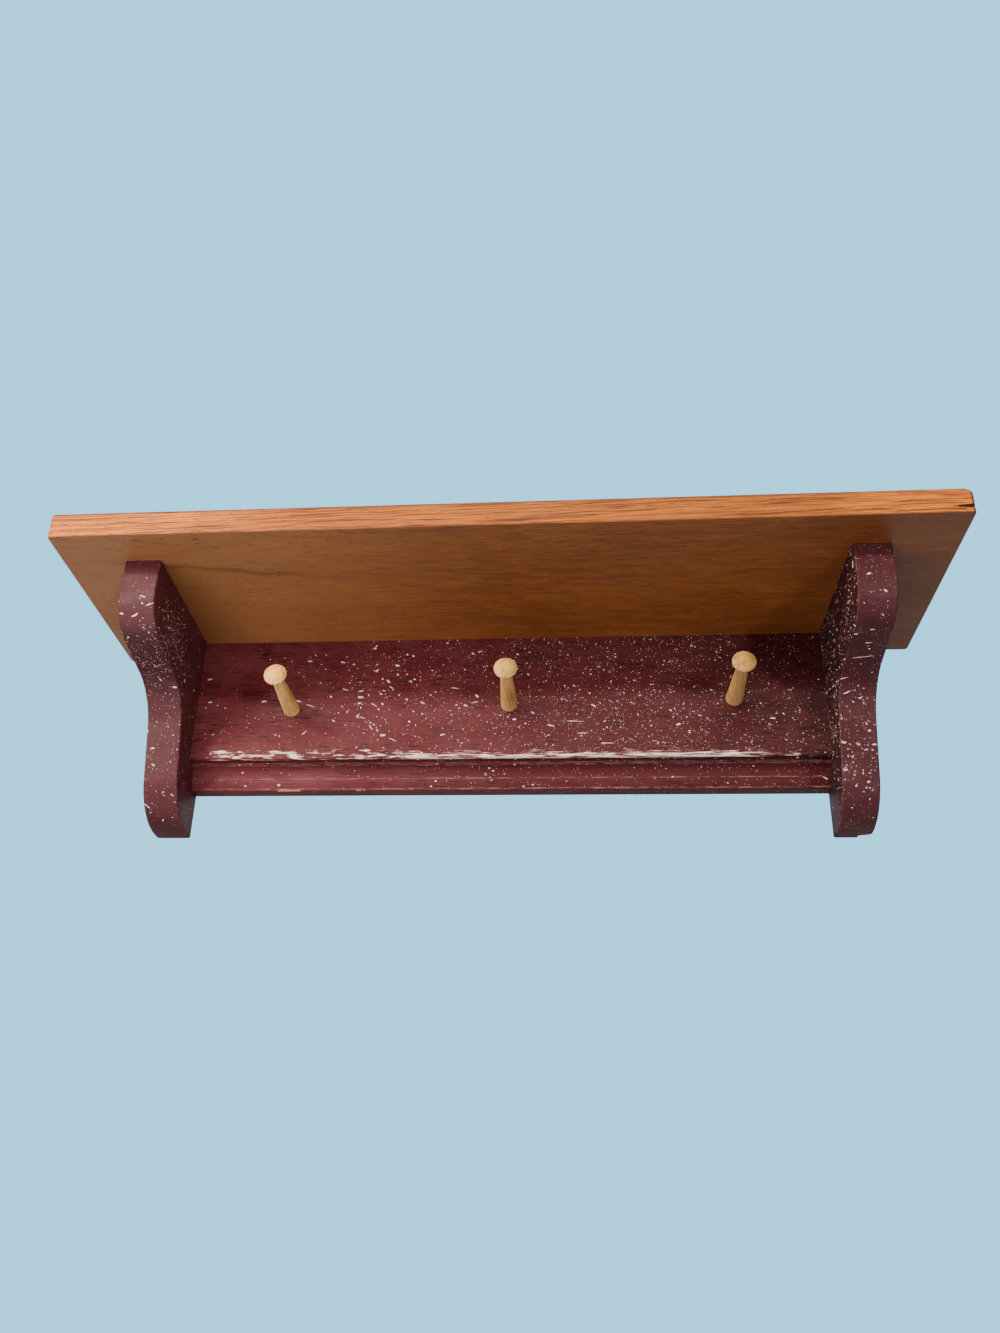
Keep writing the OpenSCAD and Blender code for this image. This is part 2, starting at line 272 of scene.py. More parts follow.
class ShaderSheet(NodeSheet):
    """A material's nodes. Its patterns read Object coordinates, in millimetres."""

    def __init__(self, name: str) -> None:
        """Starts an empty material.

        Args:
            name: The material's name.
        """
        self.material = bpy.data.materials.new(name)
        self.material.use_nodes = True
        super().__init__(self.material.node_tree)
        self.tree.nodes.clear()
        source = self.add("ShaderNodeTexCoord")
        self.place = self.scaled(source.outputs["Object"], 1 / MM)
        self.facing = source.outputs["Normal"]

    def cloud(
        self,
        size: float | Point,
        detail: float = 2.0,
        roughness: float = 0.5,
        shift: Point = (0.0, 0.0, 0.0),
    ) -> Socket:
        """Gives clouds of a size.

        Args:
            size: How wide a cloud is in millimetres, all round or along X, Y and Z.
            detail: How many times finer clouds are laid over the broad ones.
            roughness: How strong each finer layer is beside the one before.
            shift: How many clouds the pattern is moved by, which tells it from others.

        Returns:
            A value that is mostly 0.3 to 0.7.
        """
        sizes = size if isinstance(size, tuple) else (size,) * 3
        where = self.vector("MULTIPLY_ADD", self.place, tuple(1 / s for s in sizes), shift)
        return self.noise(where, detail, roughness)

    def clumped(
        self, pattern: Feed, clump: Feed, level: float, gain: float, soft: float
    ) -> Socket:
        """Keeps the peaks of a pattern, and more of them where they clump together.

        Args:
            pattern: The pattern whose peaks are kept.
            clump: How close together they lie, mostly 0.3 to 0.7.
            level: How high a peak has to be where clump is 0.
            gain: How much lower it may be where clump is 1.
            soft: How far above that level a peak is at its fullest.

        Returns:
            1 on a peak and 0 between them.
        """
        edge = self.total(level, (clump, -gain))
        return self.band(pattern, edge, self.plus(edge, soft))

    def cells(self, where: Feed) -> tuple[Socket, Socket]:
        """Returns how far the nearest of scattered points is, and that point's own chance."""
        node = self.add("ShaderNodeTexVoronoi", {"Vector": where, "Scale": 1.0})
        return node.outputs["Distance"], self.split(node.outputs["Color"])[0]

    def ramp(self, value: Feed, *colours: tuple[float, Colour]) -> Socket:
        """Picks a colour from a row of colours.

        Args:
            value: Where in the row, from 0 to 1.
            colours: Places in the row and the colours there.

        Returns:
            The colour.
        """
        node = self.add("ShaderNodeValToRGB", {0: value})
        stops = node.color_ramp.elements
        while len(stops) < len(colours):
            stops.new(0.5)
        for stop, (place, colour) in zip(stops, colours):
            stop.position = place
            stop.color = rgba(colour)
        return node.outputs[0]

    def bump(self, height: Feed, depth: float) -> Socket:
        """Returns a normal for relief that is depth millimetres from height 0 to height 1."""
        feeds = {"Height": height, "Strength": 1.0, "Distance": depth * MM}
        return self.add("ShaderNodeBump", feeds).outputs[0]

    def close(
        self, colour: Feed, roughness: Feed, normal: Feed | None = None, **fixed: float
    ) -> Material:
        """Ends the material with its shader.

        Args:
            colour: Base colour.
            roughness: How dull the surface is, from 0 to 1.
            normal: Normal with the surface's relief.
            fixed: Values that are the same all over, by the shader's names with _ for spaces.

        Returns:
            The finished material.
        """
        feeds = {"Base Color": colour, "Roughness": roughness}
        if normal is not None:
            feeds["Normal"] = normal
        feeds |= {name.replace("_", " "): value for name, value in fixed.items()}
        shader = self.add("ShaderNodeBsdfPrincipled", feeds)
        self.add("ShaderNodeOutputMaterial", {"Surface": shader.outputs[0]})
        return self.material


class GeometrySheet(NodeSheet):
    """A Geometry Nodes tree with named inputs, which ends as plain mesh with its finish."""

    def __init__(self, name: str) -> None:
        """Starts a tree that takes in a mesh and gives one back.

        Args:
            name: The tree's name.
        """
        super().__init__(bpy.data.node_groups.new(name, "GeometryNodeTree"))
        for way in ("INPUT", "OUTPUT"):
            self.tree.interface.new_socket("Mesh", in_out=way, socket_type="NodeSocketGeometry")
        self.entry = self.add("NodeGroupInput")
        self.source = self.entry.outputs[0]

    def ask(self, name: str, kind: str = "Float") -> Socket:
        """Adds a named input and returns its socket in the tree."""
        self.tree.interface.new_socket(name, in_out="INPUT", socket_type=f"NodeSocket{kind}")
        return self.entry.outputs[name]

    def chance(self, low: Feed, high: Feed, seed: Feed, turn: int) -> Socket:
        """Returns a random number for each point; turn tells apart draws of one seed."""
        feeds = {2: low, 3: high, 8: self.plus(seed, turn)}
        return self.add("FunctionNodeRandomValue", feeds, data_type="FLOAT").outputs[1]

    def close(self, shape: Socket, finish: Feed) -> None:
        """Ends the tree: smooth faces, no instances left, and the finish on all of it.

        Args:
            shape: What the tree has made.
            finish: The finish.
        """
        real = self.add("GeometryNodeRealizeInstances", {0: shape}).outputs[0]
        smooth = self.add("GeometryNodeSetShadeSmooth", {0: real}).outputs[0]
        finished = self.add("GeometryNodeSetMaterial", {0: smooth, "Material": finish}).outputs[0]
        self.add("NodeGroupOutput", {0: finished})

    def run(self, source: Mesh, values: dict[str, object]) -> Mesh:
        """Runs the tree on a mesh.

        Args:
            source: The mesh that goes in.
            values: A value for each named input.

        Returns:
            The plain mesh that comes out.
        """
        holder = bpy.data.objects.new("holder", source)
        bpy.context.scene.collection.objects.link(holder)
        modifier = holder.modifiers.new("tree", "NODES")
        modifier.node_group = self.tree
        for item in self.tree.interface.items_tree:
            if item.in_out == "INPUT" and item.name in values:
                modifier[item.identifier] = values[item.name]
        settle(holder)
        made = holder.data
        bpy.data.objects.remove(holder)
        return made


def settle(piece: Piece) -> None:
    """Turns what a piece's modifiers make into its plain mesh, and removes them.

    Args:
        piece: The piece, whose mesh is replaced.
    """
    graph = bpy.context.evaluated_depsgraph_get()
    graph.update()
    shown = piece.evaluated_get(graph)
    made = bpy.data.meshes.new_from_object(shown, preserve_all_data_layers=True, depsgraph=graph)
    piece.modifiers.clear()
    piece.data = made


@contextmanager
def workbench(mesh: Mesh, source: Mesh | None = None) -> Iterator[bmesh.types.BMesh]:
    """Opens a mesh for work on its corners and faces.

    Args:
        mesh: The mesh that the result goes into.
        source: The mesh that the work starts from, or none for empty space.

    Yields:
        The mesh under work.
    """
    solid = bmesh.new()
    if source is not None:
        solid.from_mesh(source)
    yield solid
    solid.to_mesh(mesh)
    solid.free()


def add_shell(solid: bmesh.types.BMesh, rings: list[list[Point]]) -> None:
    """Adds a closed shell that runs through rings of corners.

    Args:
        solid: The mesh that takes it.
        rings: Rings with as many corners each, in metres, from one end to the other.
    """
    loops = [[solid.verts.new(corner) for corner in ring] for ring in rings]
    for loop in (loops[0], loops[-1]):
        solid.faces.new(loop)
    for lower, upper in zip(loops, loops[1:]):
        for i in range(len(lower)):
            j = (i + 1) % len(lower)
            solid.faces.new((lower[i], lower[j], upper[j], upper[i]))


def as_piece(name: str, mesh: Mesh, finish: Material) -> Piece:
    """Makes an object at the origin from a mesh whose place is in its corners.

    Args:
        name: The piece's name.
        mesh: Its mesh.
        finish: Its finish.

    Returns:
        The piece.
    """
    mesh.name = name
    mesh.materials.clear()
    mesh.materials.append(finish)
    piece = bpy.data.objects.new(name, mesh)
    bpy.context.scene.collection.objects.link(piece)
    return piece


def copy_solid(node: str) -> Mesh:
    """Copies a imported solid, with its loose triangles merged into flat faces.

    Args:
        node: The solid's name in the frame.

    Returns:
        The copy.
    """
    mesh = bpy.data.meshes.new(node)
    with workbench(mesh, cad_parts[node].data) as solid:
        bmesh.ops.remove_doubles(solid, verts=solid.verts, dist=WELD)
        bmesh.ops.dissolve_limit(solid, angle_limit=FLAT, verts=solid.verts, edges=solid.edges)
    if "custom_normal" in mesh.attributes:
        mesh.attributes.remove(mesh.attributes["custom_normal"])
    return mesh


def ease_edges(piece: Piece, radius_of: Callable[[bmesh.types.BMEdge], float]) -> None:
    """Rounds the sharp outer edges of a piece.

    Args:
        piece: The piece, whose mesh is changed.
        radius_of: Gives the radius for an edge in millimetres, or 0 to leave it sharp.
    """
    with workbench(piece.data, piece.data) as solid:
        weights = solid.edges.layers.float.new("bevel_weight_edge")
        sharp = [e for e in solid.edges if e.is_convex and e.calc_face_angle(0.0) > SHARP]
        radii = {edge: radius_of(edge) for edge in sharp}
        largest = max(radii.values())
        for edge, radius in radii.items():
            edge[weights] = radius / largest
    bevel = piece.modifiers.new("ease", "BEVEL")
    bevel.limit_method = "WEIGHT"
    bevel.width = largest * MM
    bevel.segments = 3
    bevel.use_clamp_overlap = False
    settle(piece)
    piece.data.attributes.remove(piece.data.attributes["bevel_weight_edge"])


def lofted(near: Iterable[Point], far: Iterable[Point]) -> Mesh:
    """Makes a closed solid between two outlines with as many corners.

    Args:
        near: The first outline, in millimetres.
        far: The second outline.

    Returns:
        The solid.
    """
    mesh = bpy.data.meshes.new("cutter")
    with workbench(mesh) as solid:
        add_shell(solid, [[mm(point) for point in outline] for outline in (near, far)])
        bmesh.ops.triangulate(solid, faces=solid.faces)
        bmesh.ops.recalc_face_normals(solid, faces=solid.faces)
    return mesh


def cut_away(piece: Piece, cutter: Mesh, finish: Material) -> None:
    """Cuts a closed solid out of a piece.

    Args:
        piece: The piece, whose mesh is changed.
        cutter: The solid.
        finish: The finish that the cut faces get.
    """
    tool = as_piece("cutter", cutter, finish)
    cut = piece.modifiers.new("cut", "BOOLEAN")
    cut.operation = "DIFFERENCE"
    cut.solver = "EXACT"
    cut.material_mode = "TRANSFER"
    cut.object = tool
    settle(piece)
    bpy.data.objects.remove(tool)


def face_outwards(mesh: Mesh) -> None:
    """Merges what is left double in a closed mesh and turns its faces outwards.

    Args:
        mesh: The mesh, which is changed.
    """
    with workbench(mesh, mesh) as solid:
        bmesh.ops.remove_doubles(solid, verts=solid.verts, dist=5 * WELD)
        bmesh.ops.recalc_face_normals(solid, faces=solid.faces)


def shade(piece: Piece) -> None:
    """Shades rounded edges as round and broad faces as flat.

    Args:
        piece: The piece, whose mesh is changed.
    """
    piece.data.shade_smooth()
    piece.data.set_sharp_from_angle(angle=SHARP)
    weighted = piece.modifiers.new("normals", "WEIGHTED_NORMAL")
    weighted.keep_sharp = True
    settle(piece)


def dress(piece: Piece, replaced: str | None = None) -> Piece:
    """Hands a finished piece to the frame.

    Args:
        piece: The piece, with its final mesh.
        replaced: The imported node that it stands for, if it stands for one.

    Returns:
        The same piece.
    """
    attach(piece, BODY)
    if replaced:
        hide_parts(replaced)
    log.info("%s: %d faces", piece.name, len(piece.data.polygons))
    return piece


@dataclass(frozen=True)
class OpenGrainWood:
    """Brown open-grained hardwood with a thin satin finish, solid through the board."""

    name: str
    # Where the tree's middle lies behind and below the board's middle
    pith: tuple[float, float] = (35.0, -62.0)
    # How much the trunk leans in Y and Z for each millimetre along X
    lean: tuple[float, float] = (0.035, 0.055)
    ring_pitch: float = 7.5
    ring_sway: float = 55.0
    # Places in a ring, and how pale the wood is there
    ring_tones: tuple[tuple[float, float], ...] = ((0.0, 0.30), (0.2, 0.60), (0.8, 0.50), (1.0, 0.30))
    dark: Colour = (0.17, 0.050, 0.012)
    middle: Colour = (0.33, 0.112, 0.026)
    pale: Colour = (0.50, 0.190, 0.048)
    # How pale the grain is where it has each of those three colours
    tone_stops: Point = (0.30, 0.50, 0.74)
    # Paleness before any grain, and what rings, streaks, mottling and fibres add to it
    plain_tone: float = -0.13
    figure_shares: tuple[float, ...] = (0.15, 0.38, 0.22, 0.50)
    # What the painted shade to the right, the painted shade at the right end and the vein take off it
    darker_shares: Point = (0.13, 0.07, 0.16)
    pore: Colour = (0.070, 0.020, 0.006)
    pore_share: float = 0.6
    # A paler, greyer colour at the left is a painted sheen, and the wood to the right is darkened with
    # painted shade; the one gives way to the other between these places along X
    painted_sheen: Colour = (0.37, 0.185, 0.085)
    painted_sheen_share: float = 0.55
    sheen_fade_from: float = -160.0
    sheen_fade_to: float = 15.0
    # Between these places the right end gets darker still, with painted shade
    right_shade_from: float = 128.0
    right_shade_to: float = 188.0
    # The vein's place in Y where X is nought, its slope, its sway, and its half width and fade
    vein_y: float = -62.0
    vein_slope: float = 0.16
    vein_sway: float = 9.0
    vein_width: tuple[float, float] = (0.3, 2.6)
    # Middle, half length and fade of the vein along X
    vein_stretch: Point = (-150.0, 25.0, 45.0)
    # The front edge and the ends, where the light catches the cut fibres
    edge_dark: Colour = (0.14, 0.033, 0.004)
    edge_middle: Colour = (0.43, 0.110, 0.008)
    edge_pale: Colour = (0.68, 0.190, 0.011)
    edge_stops: Point = (0.41, 0.48, 0.55)
    # Lengths, thicknesses and shares of the strokes on those edges, and how far they wave
    edge_strokes: tuple[Point, ...] = ((60.0, 0.85, 0.50), (22.0, 0.50, 0.50))
    edge_wave: float = 5.0
    edge_slope: float = -0.02
    # Middle, half length and fade of a stretch of those edges that is deeper, and how much
    deep_stretch: Point = (15.0, 100.0, 80.0)
    deep_share: float = 0.29
    # Pale rims over and under the split: their heights, and where along X they start
    rim_heights: tuple[float, ...] = (23.8, 27.6)
    rim_from: float = 219.5
    rim_share: float = 0.8
    # The edge is darker above this height, with wear and a painted dark reflection along the top arris,
    # and darker past this place along X
    dark_rim_above: float = 34.1
    dark_rim_past: float = 222.6
    dark_rim_share: float = 0.85
    # Depth of the grain's relief
    relief: float = 0.08

    def rings(self, sheet: ShaderSheet) -> Socket:
        """Draws the growth rings.

        Args:
            sheet: The material's nodes.

        Returns:
            0 where a ring starts and 1 where it ends.
        """
        x, y, z = sheet.split(sheet.place)
        sway = sheet.minus(sheet.cloud((130, 45, 45), detail=3.0), 0.5)
        across = [
            sheet.total(sheet.minus(along, start), (x, lean))
            for along, start, lean in zip((y, z), self.pith, self.lean)
        ]
        radius = sheet.measure("DISTANCE", sheet.join(0.0, *across), (0.0, 0.0, 0.0))
        count = sheet.times(sheet.total(radius, (sway, self.ring_sway)), 1 / self.ring_pitch)
        return sheet.math("FRACT", count)

    def sheen_to_shade(self, sheet: ShaderSheet) -> Socket:
        """Returns 0 at the left, where sheen is painted, and 1 to the right, where shade is painted."""
        return sheet.band(sheet.split(sheet.place)[0], self.sheen_fade_from, self.sheen_fade_to)

    def tone(self, sheet: ShaderSheet) -> Socket:
        """Adds up rings, streaks, mottling and fibres, less the vein and the painted shade.

        Args:
            sheet: The material's nodes.

        Returns:
            How pale the wood is.
        """
        greys = ((place, (tone,) * 3) for place, tone in self.ring_tones)
        ring = sheet.ramp(self.rings(sheet), *greys)
        streak = sheet.cloud((28, 0.9, 0.9), detail=4.0, roughness=0.6)
        mottle = sheet.cloud((90, 14, 14), detail=4.0, shift=(4.0, 0.0, 0.0))
        fibre = sheet.cloud((7, 0.8, 0.8), detail=4.0, roughness=0.65)
        figure = zip((ring, streak, mottle, fibre), self.figure_shares)
        # Painted shade darkens the wood to the right and at the right end; the vein is the wood's own
        end = sheet.band(sheet.split(sheet.place)[0], self.right_shade_from, self.right_shade_to)
        dark_parts = (self.sheen_to_shade(sheet), end, self.vein(sheet))
        darker = ((part, -share) for part, share in zip(dark_parts, self.darker_shares))
        return sheet.total(self.plain_tone, *figure, *darker)

    def vein(self, sheet: ShaderSheet) -> Socket:
        """Draws the long dark vein that runs across the left of the underside.

        Args:
            sheet: The material's nodes.

        Returns:
            1 in the middle of the vein.
        """
        x, y, _ = sheet.split(sheet.place)
        sway = sheet.cloud(22, detail=3.0)
        line = sheet.total(y, (x, -self.vein_slope), (sway, self.vein_sway))
        across = sheet.near(line, self.vein_y, *self.vein_width)
        return sheet.times(across, sheet.near(x, *self.vein_stretch))

    @staticmethod
    def pores(sheet: ShaderSheet) -> Socket:
        """Draws the open pores: short dark dashes along the grain, in loose groups.

        Args:
            sheet: The material's nodes.

        Returns:
            1 in a pore.
        """
        pore = sheet.cloud((5.5, 0.62, 0.62), detail=1.5)
        clump = sheet.cloud((22, 5, 5), shift=(7.0, 0.0, 0.0))
        return sheet.clumped(pore, clump, level=0.76, gain=0.27, soft=0.10)

    @staticmethod
    def upright(sheet: ShaderSheet) -> Socket:
        """Returns 1 on the front edge and the ends, and 0 on the board's broad faces."""
        level = sheet.math("ABSOLUTE", sheet.split(sheet.facing)[2])
        return sheet.rest(sheet.band(level, 0.45, 0.85))

    def edge_grain(self, sheet: ShaderSheet) -> Socket:
        """Draws the wavy strokes of the cut rings on the edges.

        Args:
            sheet: The material's nodes.

        Returns:
            The bright colour of the edges.
        """
        x, y, z = sheet.split(sheet.place)
        height = sheet.total(z, (sheet.cloud(48), self.edge_wave), (x, self.edge_slope))
        strokes = []
        for length, thick, share in self.edge_strokes:
            lie = (sheet.times(x, 1 / length), sheet.times(y, 1 / length), sheet.times(height, 1 / thick))
            strokes.append((sheet.noise(sheet.join(*lie), detail=4.0), share))
        colours = (self.edge_dark, self.edge_middle, self.edge_pale)
        return sheet.ramp(sheet.total(0.0, *strokes), *zip(self.edge_stops, colours))

    def dark_edge_rims(self, sheet: ShaderSheet) -> Socket:
        """Finds where the edges are dark: wear and a painted dark reflection along the top arris, and the
        right end.

        Args:
            sheet: The material's nodes.

        Returns:
            1 where they are darkest.
        """
        x, _, z = sheet.split(sheet.place)
        patchy = sheet.cloud((16, 16, 1.2), detail=4.0, roughness=0.65)
        top = sheet.band(z, self.dark_rim_above, self.dark_rim_above + 0.9)
        right = sheet.band(x, self.dark_rim_past, self.dark_rim_past + 1.6)
        return sheet.math("MAXIMUM", sheet.times(top, sheet.band(patchy, 0.36, 0.56)), right)

    def edge_colour(self, sheet: ShaderSheet) -> Socket:
        """Adds the rims, the deeper stretch and the dark rims, which are wear and painted reflection, to
        the wood of the edges.

        Args:
            sheet: The material's nodes.

        Returns:
            The edges' colour.
        """
        x, _, z = sheet.split(sheet.place)
        rims: Feed = 0.0
        for height in self.rim_heights:
            rims = sheet.math("MAXIMUM", rims, sheet.near(z, height, 0.15, 0.35))
        rims = sheet.times(rims, sheet.band(x, self.rim_from, self.rim_from + 1.5))
        bright = tuple(min(1.0, 1.3 * c) for c in self.pale)
        colour = sheet.blend(rims, self.edge_grain(sheet), bright, self.rim_share)
        deeper = sheet.total(1.0, (sheet.near(x, *self.deep_stretch), -self.deep_share))
        colour = sheet.scaled(colour, deeper)
        # Wear and a painted dark reflection darken the top of the edge, and its right end is darker too
        return sheet.blend(self.dark_edge_rims(sheet), colour, self.edge_dark, self.dark_rim_share)

    @staticmethod
    def handled_edges(sheet: ShaderSheet) -> Socket:
        """Finds where hands and dust have darkened the eased edges.

        Args:
            sheet: The material's nodes.

        Returns:
            1 where they are darkest.
        """
        x, y, z = sheet.split(sheet.facing)
        slant: Feed = 0.0
        for first, second in ((x, y), (y, z), (x, z)):
            product = sheet.math("ABSOLUTE", sheet.times(first, second))
            slant = sheet.math("MAXIMUM", slant, product)
        patchy = sheet.cloud((9, 4, 4), detail=3.0)
        return sheet.times(sheet.band(slant, 0.12, 0.4), sheet.band(patchy, 0.35, 0.6))

    def material(self) -> Material:
        """Builds the wood's material.

        Returns:
            The finished material.
        """
        sheet = ShaderSheet(self.name)
        tone, pores, upright = self.tone(sheet), self.pores(sheet), self.upright(sheet)
        body = sheet.ramp(tone, *zip(self.tone_stops, (self.dark, self.middle, self.pale)))
        # Painted sheen: a paler, greyer colour over the left of the board
        body = sheet.blend(sheet.rest(self.sheen_to_shade(sheet)), body, self.painted_sheen, self.painted_sheen_share)
        body = sheet.blend(self.vein(sheet), body, self.dark, 0.4)
        colour = sheet.blend(upright, body, self.edge_colour(sheet))
        colour = sheet.blend(pores, colour, self.pore, self.pore_share)
        colour = sheet.blend(self.handled_edges(sheet), colour, self.dark, 0.65)
        normal = sheet.bump(sheet.total(0.0, (tone, 0.5), (pores, -1.0)), self.relief)
        dull = sheet.total(0.34, (sheet.cloud(18, detail=3.0), 0.20), (upright, 0.25))
        return sheet.close(colour, dull, normal, Specular_IOR_Level=0.45)


@dataclass(frozen=True)
class MilkPaint:
    """Burgundy paint brushed thinly over open wood, with dust in places and rubbed edges, and with
    painted light and shade laid over it.
    """

    name: str
    grain: Grain
    # How strongly the open pores show, and the coat's share of full brightness
    pore_share: float = 0.9
    deepening: float = 1.0
    base: Colour = (0.090, 0.0110, 0.0175)
    dark: Colour = (0.030, 0.004, 0.005)
    # Dust, which on the brackets also stands in for a painted sheen
    dust_and_sheen: Colour = (0.130, 0.032, 0.040)
    # Rubbed paint, which on the moulding's thin lines is also a painted highlight
    rubbed: Colour = (0.42, 0.20, 0.19)
    speck: Colour = (0.62, 0.44, 0.42)
    # Shares of dust, which on the brackets is also a painted sheen, brush strokes, scuffs and edge wear
    # in the colour
    dust_share: float = 0.6
    stroke_share: float = 0.45
    scuff_share: float = 0.35
    wear_share: float = 0.22
    # How much paler the coat gets for each millimetre to the left, as painted light that falls off
    # towards the right
    painted_light_slope: float = 0.0
    # Which way the piece's inner side looks along X, and what share is left there of the paint's
    # brightness, as painted light and shade, and of the specks
    inner_sign: int = 1
    inner_light_and_speck_shares: tuple[float, float] = (1.0, 1.0)
    # Spacing of the finest specks, the share of places that hold one where they are at their
    # thickest, and where along X they start and get there
    speck_pitch: float = 0.95
    speck_share: float = 0.23
    speck_from: float = -150.0
    speck_to: float = 90.0
    # Bare wood on the rear side, in its dark and its pale streaks
    bare_dark: Colour = (0.40, 0.21, 0.090)
    bare_pale: Colour = (0.68, 0.43, 0.21)
    # The rear side's middle and half width, its foot, and how far the paint laps round onto it
    middle_x: float = 0.0
    half_x: float = 173.0
    foot_z: float = -67.0
    lap: float = 6.0
    relief: float = 0.10

    def brushed(self, sheet: ShaderSheet) -> Socket:
        """Brushes the paint on, before anything has worn it, and lays painted light and shade over it.

        Args:
            sheet: The material's nodes.

        Returns:
            The paint's colour.
        """
        cloud = sheet.cloud((34, 20, 20), detail=4.0, roughness=0.6)
        base, dust_and_sheen = (tuple(c * self.deepening for c in kind) for kind in (self.base, self.dust_and_sheen))
        colour = sheet.blend(sheet.band(cloud, 0.36, 0.66), base, dust_and_sheen, self.dust_share)
        stroke = sheet.cloud(self.grain.streak(0.7), detail=3.0)
        colour = sheet.blend(sheet.band(stroke, 0.42, 0.72), colour, self.dark, self.stroke_share)
        colour = sheet.blend(self.dashes(sheet), colour, self.dark, self.pore_share)
        # Painted light and shade: paler to the left, and lighter or darker on the inner side
        coat = sheet.total(1.0, (sheet.split(sheet.place)[0], -self.painted_light_slope))
        coat = sheet.times(coat, self.on_inner_side(sheet, self.inner_light_and_speck_shares[0]))
        return sheet.scaled(colour, coat)

    def dashes(self, sheet: ShaderSheet) -> Socket:
        """Draws the short dark dashes where pores show through, in loose groups.

        Args:
            sheet: The material's nodes.

        Returns:
            1 in a dash.
        """
        dash = sheet.cloud(self.grain.streak(0.8, 0.625), detail=1.5, roughness=0.6)
        clump = sheet.cloud((34, 12, 12), shift=(3.0, 5.0, 1.0))
        return sheet.clumped(dash, clump, level=0.80, gain=0.40, soft=0.05)

    def on_inner_side(self, sheet: ShaderSheet, share: float) -> Socket:
        """Returns 1, and share on the piece's inner side."""
        inner = sheet.times(sheet.split(sheet.facing)[0], float(self.inner_sign))
        return sheet.total(1.0, (sheet.band(inner, 0.6, 0.9), share - 1.0))

    @staticmethod
    def edge_wear(sheet: ShaderSheet) -> Socket:
        """Finds where the paint is rubbed thin on the eased edges.

        Args:
            sheet: The material's nodes.

        Returns:
            1 where it is thinnest.
        """
        x = sheet.split(sheet.facing)[0]
        side = sheet.math("ABSOLUTE", x)
        across = sheet.math("SQRT", sheet.rest(sheet.times(x, x, 0.999)))
        patchy = sheet.cloud(3, detail=4.0, roughness=0.7)
        slant = sheet.band(sheet.times(side, across), 0.15, 0.45)
        return sheet.times(slant, sheet.band(patchy, 0.5, 0.62))

    @staticmethod
    def scuffs(sheet: ShaderSheet) -> Socket:
        """Draws fine light scuffs that run along X.

        Args:
            sheet: The material's nodes.

        Returns:
            1 in a scuff.
        """
        lines = sheet.cloud((9, 0.35, 0.35))
        patch = sheet.cloud((25, 9, 9), shift=(2.0, 9.0, 4.0))
        return sheet.times(sheet.band(lines, 0.62, 0.72), sheet.band(patch, 0.45, 0.65))

    def specks(self, sheet: ShaderSheet) -> Socket:
        """Scatters the finest specks of the white paint, too small to stand up.

        Args:
            sheet: The material's nodes.

        Returns:
            1 in a speck.
        """
        distance, chance = sheet.cells(sheet.scaled(sheet.place, 1 / self.speck_pitch))
        x = sheet.split(sheet.place)[0]
        along = sheet.plus(sheet.band(x, self.speck_from, self.speck_to), 0.25)
        patch = sheet.band(sheet.cloud(16, shift=(5.0, 5.0, 5.0)), 0.34, 0.62)
        there = sheet.math("LESS_THAN", chance, sheet.times(along, patch, self.speck_share))
        dot = sheet.rest(sheet.band(distance, 0.13, 0.24))
        return sheet.times(there, dot, self.on_inner_side(sheet, self.inner_light_and_speck_shares[1]))

    def worn(self, sheet: ShaderSheet, colour: Feed) -> Socket:
        """Returns the colour with this kind of board's own wear on it."""
        colour = sheet.blend(self.scuffs(sheet), colour, self.rubbed, self.scuff_share)
        return sheet.blend(self.edge_wear(sheet), colour, self.rubbed, self.wear_share)

    def bare_back(self, sheet: ShaderSheet) -> Socket:
        """Finds where the rear side was left unpainted, past a ragged lap of paint.

        Args:
            sheet: The material's nodes.

        Returns:
            1 on the bare wood.
        """
        back = sheet.band(sheet.split(sheet.facing)[1], 0.8, 0.95)
        x, _, z = sheet.split(sheet.place)
        off = sheet.math("ABSOLUTE", sheet.minus(x, self.middle_x))
        inset = sheet.math("MINIMUM", sheet.minus(self.half_x, off), sheet.minus(z, self.foot_z))
        ragged = sheet.minus(sheet.cloud((7, 7, 5), detail=5.0, roughness=0.7), 0.5)
        inset = sheet.total(inset, (ragged, 2.2 * self.lap))
        return sheet.times(back, sheet.band(inset, self.lap, self.lap + 1.2))

    def material(self) -> Material:
        """Builds the paint's material.

        Returns:
            The finished material.
        """
        sheet = ShaderSheet(self.name)
        specks = self.specks(sheet)
        colour = sheet.blend(specks, self.worn(sheet, self.brushed(sheet)), self.speck)
        streak = sheet.cloud(self.grain.streak(0.9), detail=3.0)
        wood = sheet.ramp(streak, (0.3, self.bare_dark), (0.7, self.bare_pale))
        colour = sheet.blend(self.bare_back(sheet), colour, wood)
        dull = sheet.total(0.40, (sheet.cloud(11, detail=3.0), 0.26))
        normal = sheet.bump(sheet.total(0.0, (streak, 0.5), (specks, 0.5)), self.relief)
        return sheet.close(colour, dull, normal, Specular_IOR_Level=0.2)


